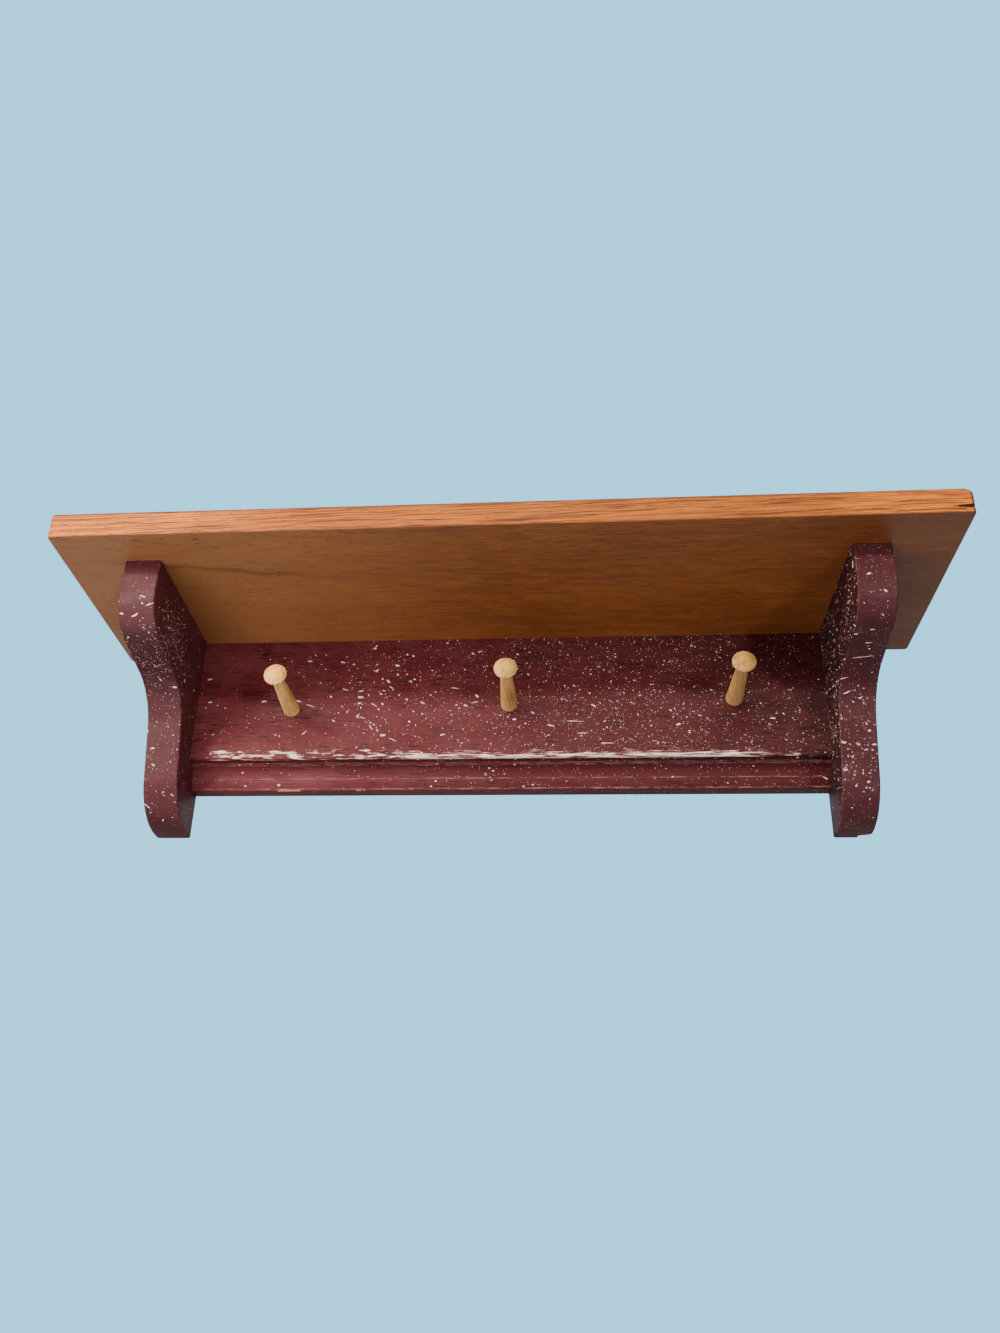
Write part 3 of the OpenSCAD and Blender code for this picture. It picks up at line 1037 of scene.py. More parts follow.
@dataclass(frozen=True)
class MouldedPaint(MilkPaint):
    """The same paint on the back board, rubbed white along the arris over its moulding."""

    # Heights of the arris and of the thin light lines under it, which are partly wear and partly painted
    # highlights
    arris: float = -53.0
    line_heights: tuple[float, ...] = (-54.1, -60.6, -66.2)
    line_share: float = 0.55
    # Middles, half heights and shares of the bands of painted shade in the cove and on the bead, in the
    # colour below, and where along X they start and are at their deepest
    cove_shade_bands: tuple[Point, ...] = ((-57.0, 2.6, 0.60), (-63.5, 2.6, 0.40))
    thick: Colour = (0.066, 0.0030, 0.0070)
    cove_shade_from: float = -100.0
    cove_shade_to: float = 0.0
    thin_white: Colour = (0.50, 0.26, 0.25)
    white: Colour = (0.88, 0.78, 0.74)
    # The band is on the flat face, which lies in front of this place along Y
    face_y: float = -17.4
    # How far up the face the rubbed band reaches, and where along X it starts and ends
    band_height: float = 6.0
    band_from: float = -167.0
    band_to: float = 158.0
    # Up to here the band is in patches, and from here on it is solid
    patchy_to: float = -75.0
    solid_from: float = -35.0
    # Over this length before its end the band thins out
    thinning: float = 38.0
    # Middle, half length and fade of the stretch where it is rubbed through to a thin haze
    rubbed_through: Point = (-92.0, 12.0, 8.0)

    def white_cover(self, sheet: ShaderSheet) -> Socket:
        """Lays the white on the arris.

        Args:
            sheet: The material's nodes.

        Returns:
            How thick it is: 0.5 and more shows as solid white.
        """
        x, y, z = sheet.split(sheet.place)
        rise = sheet.times(sheet.minus(z, self.arris), 1 / self.band_height)
        solid = sheet.band(x, self.patchy_to, self.solid_from)
        thin = sheet.near(x, *self.rubbed_through)
        end = sheet.band(x, self.band_to - self.thinning, self.band_to)
        start = sheet.rest(sheet.band(x, self.band_from, self.band_from + 4.0))
        stop = sheet.band(x, self.band_to - 3.0, self.band_to + 5.0)
        # The white thins out upwards, and faster where it is solid
        fade = sheet.times(rise, sheet.total(0.15, (solid, 0.50)))
        # Broad patches break up its left part, and fine streaks all of it
        patch = sheet.minus(sheet.cloud((8, 1, 2.4), detail=4.0, shift=(4.0, 0.0, 2.0)), 0.55)
        patch = sheet.times(patch, sheet.total(3.4, (solid, -2.5)))
        streak = sheet.minus(sheet.cloud((14, 1, 0.75), detail=5.0, roughness=0.7), 0.5)
        streak = sheet.times(streak, sheet.total(3.0, (end, 1.6)))
        parts = ((solid, 0.12), (thin, -0.14), (fade, -1.0), (patch, 1.0), (streak, 1.0))
        cover = sheet.total(0.45, *parts, (start, -1.0), (end, -0.32), (stop, -1.0))
        # Nothing is left of it above the band, under the arris or inside the moulding
        over = sheet.rest(sheet.band(rise, 0.7, 1.15))
        face = sheet.math("LESS_THAN", y, self.face_y)
        return sheet.times(cover, over, face, sheet.band(rise, -0.08, 0.02))

    def worn(self, sheet: ShaderSheet, colour: Feed) -> Socket:
        """Adds the painted shade in the cove and on the bead, the thin light lines and the white band of
        the moulding.

        Args:
            sheet: The material's nodes.
            colour: The paint's colour before them.

        Returns:
            The colour with them.
        """
        x, _, height = sheet.split(sheet.place)
        # Painted shade in the cove and on the bead, fading out towards the left end
        along = sheet.band(x, self.cove_shade_from, self.cove_shade_to)
        for middle, half, share in self.cove_shade_bands:
            shaded = sheet.times(sheet.near(height, middle, half, 0.5), along)
            colour = sheet.blend(shaded, colour, self.thick, share)
        # Thin light lines on the small arrises: partly wear, partly painted highlights
        dash = sheet.band(sheet.cloud((7, 1, 1), detail=4.0, roughness=0.7), 0.42, 0.60)
        for line in self.line_heights:
            worn = sheet.times(sheet.near(height, line, 0.14, 0.35), dash)
            colour = sheet.blend(worn, colour, self.rubbed, self.line_share)
        cover = self.white_cover(sheet)
        colour = sheet.blend(sheet.band(cover, 0.22, 0.42), colour, self.thin_white, 0.75)
        return sheet.blend(sheet.band(cover, 0.40, 0.55), colour, self.white)


@dataclass(frozen=True)
class WhiteDrops:
    """White paint that was flicked on: chalky, pinkish where it lies thin."""

    name: str
    thick: Colour = (0.90, 0.82, 0.78)
    thin: Colour = (0.58, 0.36, 0.34)
    dullness: float = 0.55

    def material(self) -> Material:
        """Builds the drops' material.

        Returns:
            The finished material.
        """
        sheet = ShaderSheet(self.name)
        colour = sheet.blend(sheet.band(sheet.cloud(2.4), 0.34, 0.56), self.thin, self.thick)
        return sheet.close(colour, self.dullness, sheet.bump(sheet.cloud(0.25), 0.03))


@dataclass(frozen=True)
class TurnedWood:
    """Pale close-grained wood, turned and left bare, with its fibres along Y."""

    name: str
    # How pale this peg is beside plain turned wood: painted light above 1 and painted shade below 1
    painted_lightness: float = 1.0
    dark: Colour = (0.42, 0.205, 0.060)
    middle: Colour = (0.68, 0.395, 0.130)
    pale: Colour = (0.86, 0.550, 0.205)
    tone_stops: Point = (0.36, 0.47, 0.60)
    # The head's face is yellower than the sides by these factors, and dotted with grime
    face_tint: Colour = (1.0, 0.94, 0.62)
    grime_share: float = 0.55
    crack_share: float = 0.6
    relief: float = 0.06

    def grime(self, sheet: ShaderSheet, face: Feed) -> Socket:
        """Finds the dirt that has lodged in the end grain of the head's face.

        Args:
            sheet: The material's nodes.
            face: 1 on that face.

        Returns:
            1 where it is dirtiest.
        """
        dots = sheet.cloud((0.4, 2, 0.4))
        dirt = sheet.total(0.0, (dots, 0.55), (sheet.cloud(3.2, detail=3.0), 0.45))
        return sheet.times(sheet.band(dirt, 0.50, 0.64), face)

    def material(self) -> Material:
        """Builds the turned wood's material.

        Returns:
            The finished material.
        """
        sheet = ShaderSheet(self.name)
        streak = sheet.cloud(Grain.ALONG_Y.streak(0.8), detail=4.0, roughness=0.6)
        broad = sheet.cloud((4, 22, 4))
        kinds = (self.dark, self.middle, self.pale)
        colours = [tuple(c * self.painted_lightness for c in kind) for kind in kinds]
        tone = sheet.total(0.0, (streak, 0.6), (broad, 0.4))
        colour = sheet.ramp(tone, *zip(self.tone_stops, colours))
        face = sheet.band(sheet.times(sheet.split(sheet.facing)[1], -1.0), 0.72, 0.9)
        colour = sheet.blend(face, colour, sheet.vector("MULTIPLY", colour, self.face_tint))
        colour = sheet.blend(self.grime(sheet, face), colour, colours[0], self.grime_share)
        crack = sheet.band(sheet.cloud((0.5, 14, 0.5), detail=1.0), 0.74, 0.80)
        colour = sheet.blend(crack, colour, colours[0], self.crack_share)
        tool_marks = sheet.cloud((12, 0.3, 12), detail=1.0)
        normal = sheet.bump(sheet.total(0.0, (streak, 0.6), (tool_marks, 0.4)), self.relief)
        return sheet.close(colour, sheet.total(0.42, (broad, 0.2)), normal, Specular_IOR_Level=0.4)


@dataclass(frozen=True)
class RawBreak:
    """Bare wood where a chip or a split shows under the finish; the split's colours are dark with painted
    shade.
    """

    name: str
    pale: Colour
    dark: Colour
    dullness: float = 0.85

    def material(self) -> Material:
        """Builds the broken wood's material.

        Returns:
            The finished material.
        """
        sheet = ShaderSheet(self.name)
        fibre = sheet.cloud(Grain.ALONG_X.streak(0.3), detail=3.0, roughness=0.7)
        colour = sheet.ramp(fibre, (0.35, self.dark), (0.62, self.pale))
        return sheet.close(colour, self.dullness, sheet.bump(fibre, 0.2))


@dataclass(frozen=True)
class ZincPlated:
    """Zinc-plated steel with faint crystals and fine scratches."""

    name: str
    tint: Colour = (0.66, 0.67, 0.66)
    grain: Grain = Grain.ALONG_Z
    # Share of the tint's brightness that is left where the plating has dulled
    dimming: float = 0.62

    def material(self) -> Material:
        """Builds the plating's material.

        Returns:
            The finished material.
        """
        sheet = ShaderSheet(self.name)
        crystal = sheet.cells(sheet.scaled(sheet.place, 1 / 2.2))[1]
        tarnish = sheet.total(0.0, (crystal, 0.3), (sheet.cloud(5, detail=3.0), 0.7))
        dim = tuple(c * self.dimming for c in self.tint)
        colour = sheet.blend(sheet.band(tarnish, 0.3, 0.75), self.tint, dim)
        scratch = sheet.cloud(self.grain.streak(0.12))
        dull = sheet.total(0.24, (tarnish, 0.36))
        return sheet.close(colour, dull, sheet.bump(scratch, 0.01), Metallic=1.0)


@dataclass(frozen=True)
class PaleFloor:
    """Plain pale studio floor with a faint unevenness."""

    name: str
    tint: Colour = (0.74, 0.76, 0.77)
    dimming: float = 0.95
    dullness: float = 0.8

    def material(self) -> Material:
        """Builds the floor's material.

        Returns:
            The finished material.
        """
        sheet = ShaderSheet(self.name)
        dim = tuple(c * self.dimming for c in self.tint)
        return sheet.close(sheet.blend(sheet.cloud(300, detail=3.0), self.tint, dim), self.dullness)


# How pale each peg is beside plain turned wood: the left peg is painted lit and the other two painted in
# shade
PEG_PAINTED_LIGHT = {"left_peg": 1.16, "middle_peg": 0.88, "right_peg": 0.67}


@dataclass(frozen=True)
class Finishes:
    """Every finish on the shelf, each built once."""

    shelf_wood: Material
    board_paint: Material
    bracket_paint: dict[Side, Material]
    drops: Material
    peg_wood: dict[str, Material]
    split_wood: Material
    chipped_wood: Material
    plate_zinc: Material
    screw_zinc: Material

    @classmethod
    def build(cls) -> "Finishes":
        """Builds all the materials.

        Returns:
            The finishes.
        """
        # The board's paint is painted paler to the left, as light that falls off towards the right
        board_coat = MouldedPaint("board_paint", Grain.ALONG_X, deepening=0.93, painted_light_slope=0.0025)
        # The split's dark wood is painted shade in the crevice, and the knocks on the feet take it too
        split = RawBreak("split_wood", pale=(0.22, 0.080, 0.028), dark=(0.07, 0.022, 0.009))
        chip = RawBreak("chipped_wood", pale=(0.84, 0.50, 0.24), dark=(0.58, 0.30, 0.14))
        screws = ZincPlated("screw_zinc", tint=(0.70, 0.69, 0.64), grain=Grain.ALONG_X)
        pegs = {node: TurnedWood(f"{node}_wood", tone) for node, tone in PEG_PAINTED_LIGHT.items()}
        return cls(
            shelf_wood=OpenGrainWood("open_grain_wood").material(),
            board_paint=board_coat.material(),
            bracket_paint={side: cls.bracket_coat(side).material() for side in Side},
            drops=WhiteDrops("white_drops").material(),
            peg_wood={node: wood.material() for node, wood in pegs.items()},
            split_wood=split.material(),
            chipped_wood=chip.material(),
            plate_zinc=ZincPlated("plate_zinc").material(),
            screw_zinc=screws.material(),
        )

    @staticmethod
    def bracket_coat(side: Side) -> MilkPaint:
        """Chooses the coat of one bracket: mauver than the board's, which is a painted sheen, and darker
        on the right, which is painted shade.

        Args:
            side: The bracket's end of the shelf.

        Returns:
            The coat, fitted to the bracket's box.
        """
        low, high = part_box(f"{side.value}_bracket")
        # The right bracket is painted in shade, darker all over and much darker on its inner side; the
        # left one's inner side is painted lighter
        darker = side is Side.RIGHT
        return MilkPaint(
            f"{side.value}_paint",
            Grain.ALONG_Z,
            pore_share=0.35,
            deepening=0.88 if darker else 0.95,
            # Base and dust colours mauver than the board's: a painted sheen over the real dust
            base=(0.068, 0.0112, 0.0188),
            dust_and_sheen=(0.098, 0.0335, 0.0430),
            inner_sign=-side.sign,
            inner_light_and_speck_shares=(0.40, 0.10) if darker else (1.45, 1.0),
            middle_x=(low.x + high.x) / 2 / MM,
            half_x=(high.x - low.x) / 2 / MM,
            foot_z=low.z / MM,
            lap=1.8,
        )


@dataclass
class TopBoard:
    """The flat shelf board, with eased edges and a split in its right front corner."""

    finishes: Finishes
    # Radius of the eased edges, which all lie within edge_room of the board's outline
    arris: float = 0.8
    edge_room: float = 2.5
    # How far the top is rounded in from each end and down it, over and above that radius
    end_rounds: tuple[tuple[Side, float, float], ...] = (
        (Side.LEFT, 2.6, 2.2),
        (Side.RIGHT, 5.2, 3.3),
    )
    round_steps: int = 6
    # The split's outline on the front face: distance from the right end, height above the
    # underside and depth of the cut there
    split: tuple[Point, ...] = (
        (11.6, 3.5, 0.3),
        (6.7, 2.9, 1.1),
        (2.6, 2.6, 1.9),
        (-PROUD, 2.4, 2.4),
        (-PROUD, 4.9, 2.4),
        (1.4, 4.8, 2.2),
        (3.4, 4.5, 1.7),
        (6.7, 4.2, 1.0),
        (9.4, 3.8, 0.5),
    )

    def build(self) -> Piece:
        """Builds and dresses the board.

        Returns:
            The finished board.
        """
        low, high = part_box("top_board")
        board = as_piece("shelf_board", copy_solid("top_board"), self.finishes.shelf_wood)
        ease_edges(board, lambda edge: self.radius(edge, low, high))
        self.round_ends(board, high)
        right, front, under = high.x / MM, low.y / MM, low.z / MM
        near = [(right - x, front - PROUD, under + z) for x, z, _ in self.split]
        far = [(right - x, front + depth, under + z) for x, z, depth in self.split]
        cut_away(board, lofted(near, far), self.finishes.split_wood)
        shade(board)
        return dress(board, "top_board")

    def radius(self, edge: bmesh.types.BMEdge, low: Vector, high: Vector) -> float:
        """Chooses the easing radius of one of the board's edges.

        Args:
            edge: A sharp outer edge.
            low: The board's lowest corner.
            high: The board's highest corner.

        Returns:
            The radius in millimetres, 0 for the rim of a screw hole.
        """
        middle = (edge.verts[0].co + edge.verts[1].co) / 2
        inside_x = min(middle.x - low.x, high.x - middle.x)
        inside_y = min(middle.y - low.y, high.y - middle.y)
        return 0.0 if min(inside_x, inside_y) > self.edge_room * MM else self.arris

    def round_ends(self, board: Piece, high: Vector) -> None:
        """Rounds the top down towards the two ends.

        Args:
            board: The board, with its edges eased.
            high: The board's highest corner.
        """
        with workbench(board.data, board.data) as solid:
            for side, reach, drop in self.end_rounds:
                start = high.x - reach * MM
                for i in range(self.round_steps):
                    in_share = math.sin(math.pi / 2 * i / self.round_steps)
                    bmesh.ops.bisect_plane(
                        solid,
                        geom=[*solid.verts, *solid.edges, *solid.faces],
                        dist=WELD,
                        plane_co=(side.sign * (start + in_share * reach * MM), 0, 0),
                        plane_no=(1, 0, 0),
                    )
                for vert in solid.verts:
                    share = min(1.0, (side.sign * vert.co.x - start) / (reach * MM))
                    if share > 0 and vert.co.z > high.z - 2 * self.arris * MM:
                        vert.co.z -= drop * MM * (1 - math.sqrt(1 - share**2))


@dataclass
class BackBoard:
    """The painted board with a moulded lower edge that carries the pegs."""

    finishes: Finishes
    # Radius of the worn arris over the moulding, of the small arrises below it and of the rear one
    arris: float = 1.1
    small_arris: float = 0.3
    rear_arris: float = 0.8
    # Share of the board's length that an edge has to run over to be eased
    long_share: float = 0.9
    # The bead's lower edge along Y and Z, and the slope of its face above that edge
    bead_edge: tuple[float, float] = (-7.3, -67.0)
    bead_slope: tuple[float, float] = (-0.66, 0.75)
    # From that edge to a chip's corner out in the air
    chip_corner: tuple[float, float] = (-1.4, -1.8)
    # How far a chip slants in at each end on the bead's face, at most
    chip_slant: float = 3.0
    # Bare chips along the lower edge: their two ends along X and their width
    chips: tuple[Point, ...] = ((-126.0, -110.5, 1.0), (-81.2, -77.0, 0.7))

    def build(self) -> Piece:
        """Builds and dresses the board.

        Returns:
            The finished board.
        """
        low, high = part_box("back_board")
        board = as_piece("back_board_painted", copy_solid("back_board"), self.finishes.board_paint)
        ease_edges(board, lambda edge: self.radius(edge, low, high))
        for start, end, width in self.chips:
            cut_away(board, self.chip(start, end, width), self.finishes.chipped_wood)
        shade(board)
        return dress(board, "back_board")

    def radius(self, edge: bmesh.types.BMEdge, low: Vector, high: Vector) -> float:
        """Chooses the easing radius of one of the board's edges.

        Args:
            edge: A sharp outer edge.
            low: The board's lowest corner.
            high: The board's highest corner.

        Returns:
            The radius in millimetres, 0 for joints and the rims of holes.
        """
        start, end = (vert.co for vert in edge.verts)
        short = abs(start.x - end.x) < self.long_share * (high.x - low.x)
        if short or min(start.z, end.z) > high.z - WELD:
            return 0.0
        if start.y > high.y - WELD:
            return self.rear_arris
        return self.arris if start.y < low.y + WELD else self.small_arris

    def chip(self, start: float, end: float, width: float) -> Mesh:
        """Makes the solid that is chipped off the bead's lower edge.

        Args:
            start: The chip's left end along X.
            end: Its right end along X.
            width: How wide it is on the bead's face and on the foot, together.

        Returns:
            The solid that is cut away.
        """
        edge = Vector(self.bead_edge)
        up_bead = edge + Vector(self.bead_slope) * width / 2
        along_foot = edge + Vector((1.0, 0.0)) * width / 2
        flat = up_bead - along_foot
        corners = (up_bead + flat / 2, along_foot - flat / 2, edge + Vector(self.chip_corner))
        slant = min(self.chip_slant, (end - start) / 3)
        ins = (slant, 0.0, -0.5)
        left = [(start + inward, *corner) for inward, corner in zip(ins, corners)]
        right = [(end - inward, *corner) for inward, corner in zip(ins, corners)]
        return lofted(left, right)


# What a knock has broken off each foot's rear lower edge: its outline on the back and its
# outline where it ends, as distance in from the outer face, place along Y and height over
# the foot
KNOCKS: dict[Side, tuple[tuple[Point, ...], tuple[Point, ...]]] = {
    Side.LEFT: (
        ((0.1, PROUD, -PROUD), (1.6, PROUD, -PROUD), (0.9, PROUD, 1.3)),
        ((0.3, -4.0, -PROUD), (1.3, -4.0, -PROUD), (0.9, -3.0, 0.3)),
    ),
    Side.RIGHT: (
        (
            (7.6, PROUD, -PROUD),
            (6.3, PROUD, 1.3),
            (3.0, PROUD, 1.6),
            (-PROUD, PROUD, 2.1),
            (-PROUD, PROUD, -PROUD),
        ),
        (
            (7.6, -6.5, -PROUD),
            (6.3, -6.5, -0.1),
            (3.0, -6.5, -0.1),
            (-PROUD, -6.5, -0.1),
            (-PROUD, -6.5, -PROUD),
        ),
    ),
}


@dataclass
class Bracket:
    """One of the two S-shaped side boards."""

    side: Side
    finishes: Finishes
    arris: float = 1.0
    # Room round a plug where the rim of its hole is left sharp
    plug_room: float = 1.0

    @property
    def node(self) -> str:
        """The bracket's name in the frame."""
        return f"{self.side.value}_bracket"

    def build(self) -> Piece:
        """Builds and dresses the bracket.

        Returns:
            The finished bracket.
        """
        low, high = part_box(self.node)
        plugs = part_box(f"{self.side.value}_side_plugs")
        paint = self.finishes.bracket_paint[self.side]
        bracket = as_piece(f"{self.node}_painted", copy_solid(self.node), paint)
        ease_edges(bracket, lambda edge: self.radius(edge, high, plugs))
        # The knock's faces take the split's finish, dark with painted shade
        cut_away(bracket, self.knock(low, high), self.finishes.split_wood)
        shade(bracket)
        return dress(bracket, self.node)

    def radius(
        self, edge: bmesh.types.BMEdge, high: Vector, plugs: tuple[Vector, Vector]
    ) -> float:
        """Chooses the easing radius of one of the bracket's edges.

        Args:
            edge: A sharp outer edge.
            high: The bracket's highest corner.
            plugs: The corners of the box round its two side plugs.

        Returns:
            The radius in millimetres, 0 at the top joint and the rims of holes.
        """
        start, end = (vert.co for vert in edge.verts)
        room = self.plug_room * MM
        by_plug = all(
            plugs[0][axis] - room < point[axis] < plugs[1][axis] + room
            for point in (start, end)
            for axis in (1, 2)
        )
        lengthwise = abs(start.x - end.x) < WELD
        on_top = min(start.z, end.z) > high.z - WELD
        return 0.0 if by_plug or on_top or not lengthwise else self.arris

    def knock(self, low: Vector, high: Vector) -> Mesh:
        """Makes the solid that a knock has broken off the foot's rear lower edge.

        Args:
            low: The bracket's lowest corner.
            high: The bracket's highest corner.

        Returns:
            The solid that is cut away.
        """
        outer = (low.x if self.side is Side.LEFT else high.x) / MM
        outlines = (
            [(outer - self.side.sign * inward, y, low.z / MM + over) for inward, y, over in outline]
            for outline in KNOCKS[self.side]
        )
        return lofted(*outlines)


def lathe() -> GeometrySheet:
    """Builds the tree that turns a profile round Z, as a lathe does.

    Returns:
        A tree whose mesh is the profile, with X as radius and -Y as height.
    """
    sheet = GeometrySheet("lathe")
    sides = sheet.ask("Sides", "Int")
    core = sheet.ask("Core radius")
    finish = sheet.ask("Finish", "Material")
    profile = sheet.add("GeometryNodeMeshToCurve", {0: sheet.source}).outputs[0]
    feeds = {"Resolution": sides, "Radius": core}
    circle = sheet.add("GeometryNodeCurvePrimitiveCircle", feeds).outputs[0]
    upright = sheet.add("GeometryNodeSetCurveNormal", {0: circle}, mode="Z_UP").outputs[0]
    feeds = {"Curve": upright, "Profile Curve": profile}
    skin = sheet.add("GeometryNodeCurveToMesh", feeds).outputs[0]
    # The core is as good as nothing, so this closes both ends on the axis
    feeds = {0: skin, "Distance": sheet.times(core, 3.0)}
    sheet.close(sheet.add("GeometryNodeMergeByDistance", feeds).outputs[0], finish)
    return sheet


@dataclass
class Peg:
    """A turned peg: round head, narrow neck and a shank that widens to the board."""

    node: str
    finishes: Finishes
    lathe: GeometrySheet
    base_r: float = 4.6
    neck_r: float = 2.7
    dome_h: float = 2.8
    rim_h: float = 0.7
    flare_h: float = 2.4
    tenon_r: float = 3.15
    tenon_chamfer: float = 0.6
    seat_chamfer: float = 0.15
    # Rounding of the rim, and how much of it the flare's last point is drawn in by
    rim_round: float = 0.35
    rim_share: float = 0.3
    # How far the shank swells out of a straight taper
    swell: float = 0.15
    # Facets round the peg, and along its shank, its flare and its dome
    sides: int = 64
    shank_steps: int = 12
    flare_steps: int = 8
    dome_steps: int = 14

    def profile(self, head_r: float, reach: float, tenon_l: float) -> list[tuple[float, float]]:
        """Lays out the peg's profile from the tenon's end to the middle of the dome.

        Args:
            head_r: Radius of the head.
            reach: How far the peg stands out of the board.
            tenon_l: Length of the tenon in the board.

        Returns:
            Points as radius and height above the board, in millimetres.
        """
        rim_z = reach - self.dome_h
        flare_z = rim_z - self.rim_h
        neck_z = flare_z - self.flare_h
        points = [
            (0.0, -tenon_l),
            (self.tenon_r - self.tenon_chamfer, -tenon_l),
            (self.tenon_r, self.tenon_chamfer - tenon_l),
            (self.tenon_r, 0.0),
            (self.base_r - self.seat_chamfer, 0.0),
        ]
        for i in range(self.shank_steps + 1):
            t = i / self.shank_steps
            straight = self.base_r + (self.neck_r - self.base_r) * t
            height = self.seat_chamfer + (neck_z - self.seat_chamfer) * t
            points.append((straight + self.swell * math.sin(math.pi * t), height))
        for i in range(1, self.flare_steps + 1):
            t = i / self.flare_steps * math.pi / 2
            wide = self.neck_r + (head_r - self.neck_r) * (1 - math.cos(t))
            points.append((wide, neck_z + self.flare_h * math.sin(t)))
        points[-1] = (points[-1][0] - self.rim_share * self.rim_round, points[-1][1])
        points += [(head_r, flare_z + self.rim_round), (head_r, rim_z)]
        dome_r = (head_r**2 + self.dome_h**2) / (2 * self.dome_h)
        spread = math.asin(head_r / dome_r)
        for i in range(1, self.dome_steps + 1):
            t = spread * (1 - i / self.dome_steps)
            points.append((dome_r * math.sin(t), reach - dome_r + dome_r * math.cos(t)))
        return points

    def build(self) -> Piece:
        """Builds and dresses the peg.

        Returns:
            The finished peg.
        """
        low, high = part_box(self.node)
        seat_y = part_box("back_board")[0].y
        head_r = (high.x - low.x) / 2 / MM
        points = self.profile(head_r, (seat_y - low.y) / MM, (high.y - seat_y) / MM)
        line = bpy.data.meshes.new("profile")
        corners = [mm((radius, -height, 0)) for radius, height in points]
        line.from_pydata(corners, [(i, i + 1) for i in range(len(corners) - 1)], [])
        finish = self.finishes.peg_wood[self.node]
        turned = self.lathe.run(line, {"Sides": self.sides, "Core radius": WELD, "Finish": finish})
        centre = Vector(((low.x + high.x) / 2, seat_y, (low.z + high.z) / 2))
        turned.transform(Matrix.Translation(centre) @ Matrix.Rotation(math.pi / 2, 4, "X"))
        face_outwards(turned)
        peg = as_piece(f"{self.node}_turned", turned, finish)
        shade(peg)
        return dress(peg, self.node)


@dataclass(frozen=True)
class Flick:
    """One flick of a loaded brush: where its drops fell and what they are like."""

    centre: Point
    # Drops are dense within core of the centre and end at reach, both in millimetres
    core: float
    reach: float
    # Drops to the square centimetre, and the widths of the smallest and the largest
    density: float
    smallest: float
    largest: float
    # Higher skew makes large drops rarer; stretch is the length of the longest streaks
    skew: float = 3.0
    stretch: float = 2.0
    heading: Point = (1.0, 0.0, -0.4)
    turn: float = 40.0
    # Under this height only a few drops landed
    lowest: float = -53.0
    low_share: float = 0.2
    # Drops landed only on faces that look this way, or on all faces if it is nought
    looks: Point = (0.0, 0.0, 0.0)

    def inputs(self, seed: int, finish: Material) -> dict[str, object]:
        """Lists what the scattering tree takes in for this flick.

        Args:
            seed: Seed of its random draws.
            finish: The drops' finish.

        Returns:
            A value for each of the tree's inputs, in metres and radians.
        """
        lengths = ("core", "reach", "smallest", "largest", "lowest")
        return {
            **{name.capitalize(): getattr(self, name) * MM for name in lengths},
            "Density": self.density / 0.01**2,
            "Centre": mm(self.centre),
            "Skew": self.skew,
            "Stretch": self.stretch,
            "Heading": Vector(self.heading).normalized(),
            "Turn": math.radians(self.turn),
            "Low share": self.low_share,
            "Looks": Vector(self.looks),
            "Seed": seed,
            "Finish": finish,
        }


@dataclass(frozen=True)
class Dab:
    """A single large drop or streak, placed one by one."""

    spot: Point
    length: float
    width: float
    # Angle above level on the face, in degrees, and how much one end is drawn to a point
    angle: float = 0.0
    tail: float = 0.0


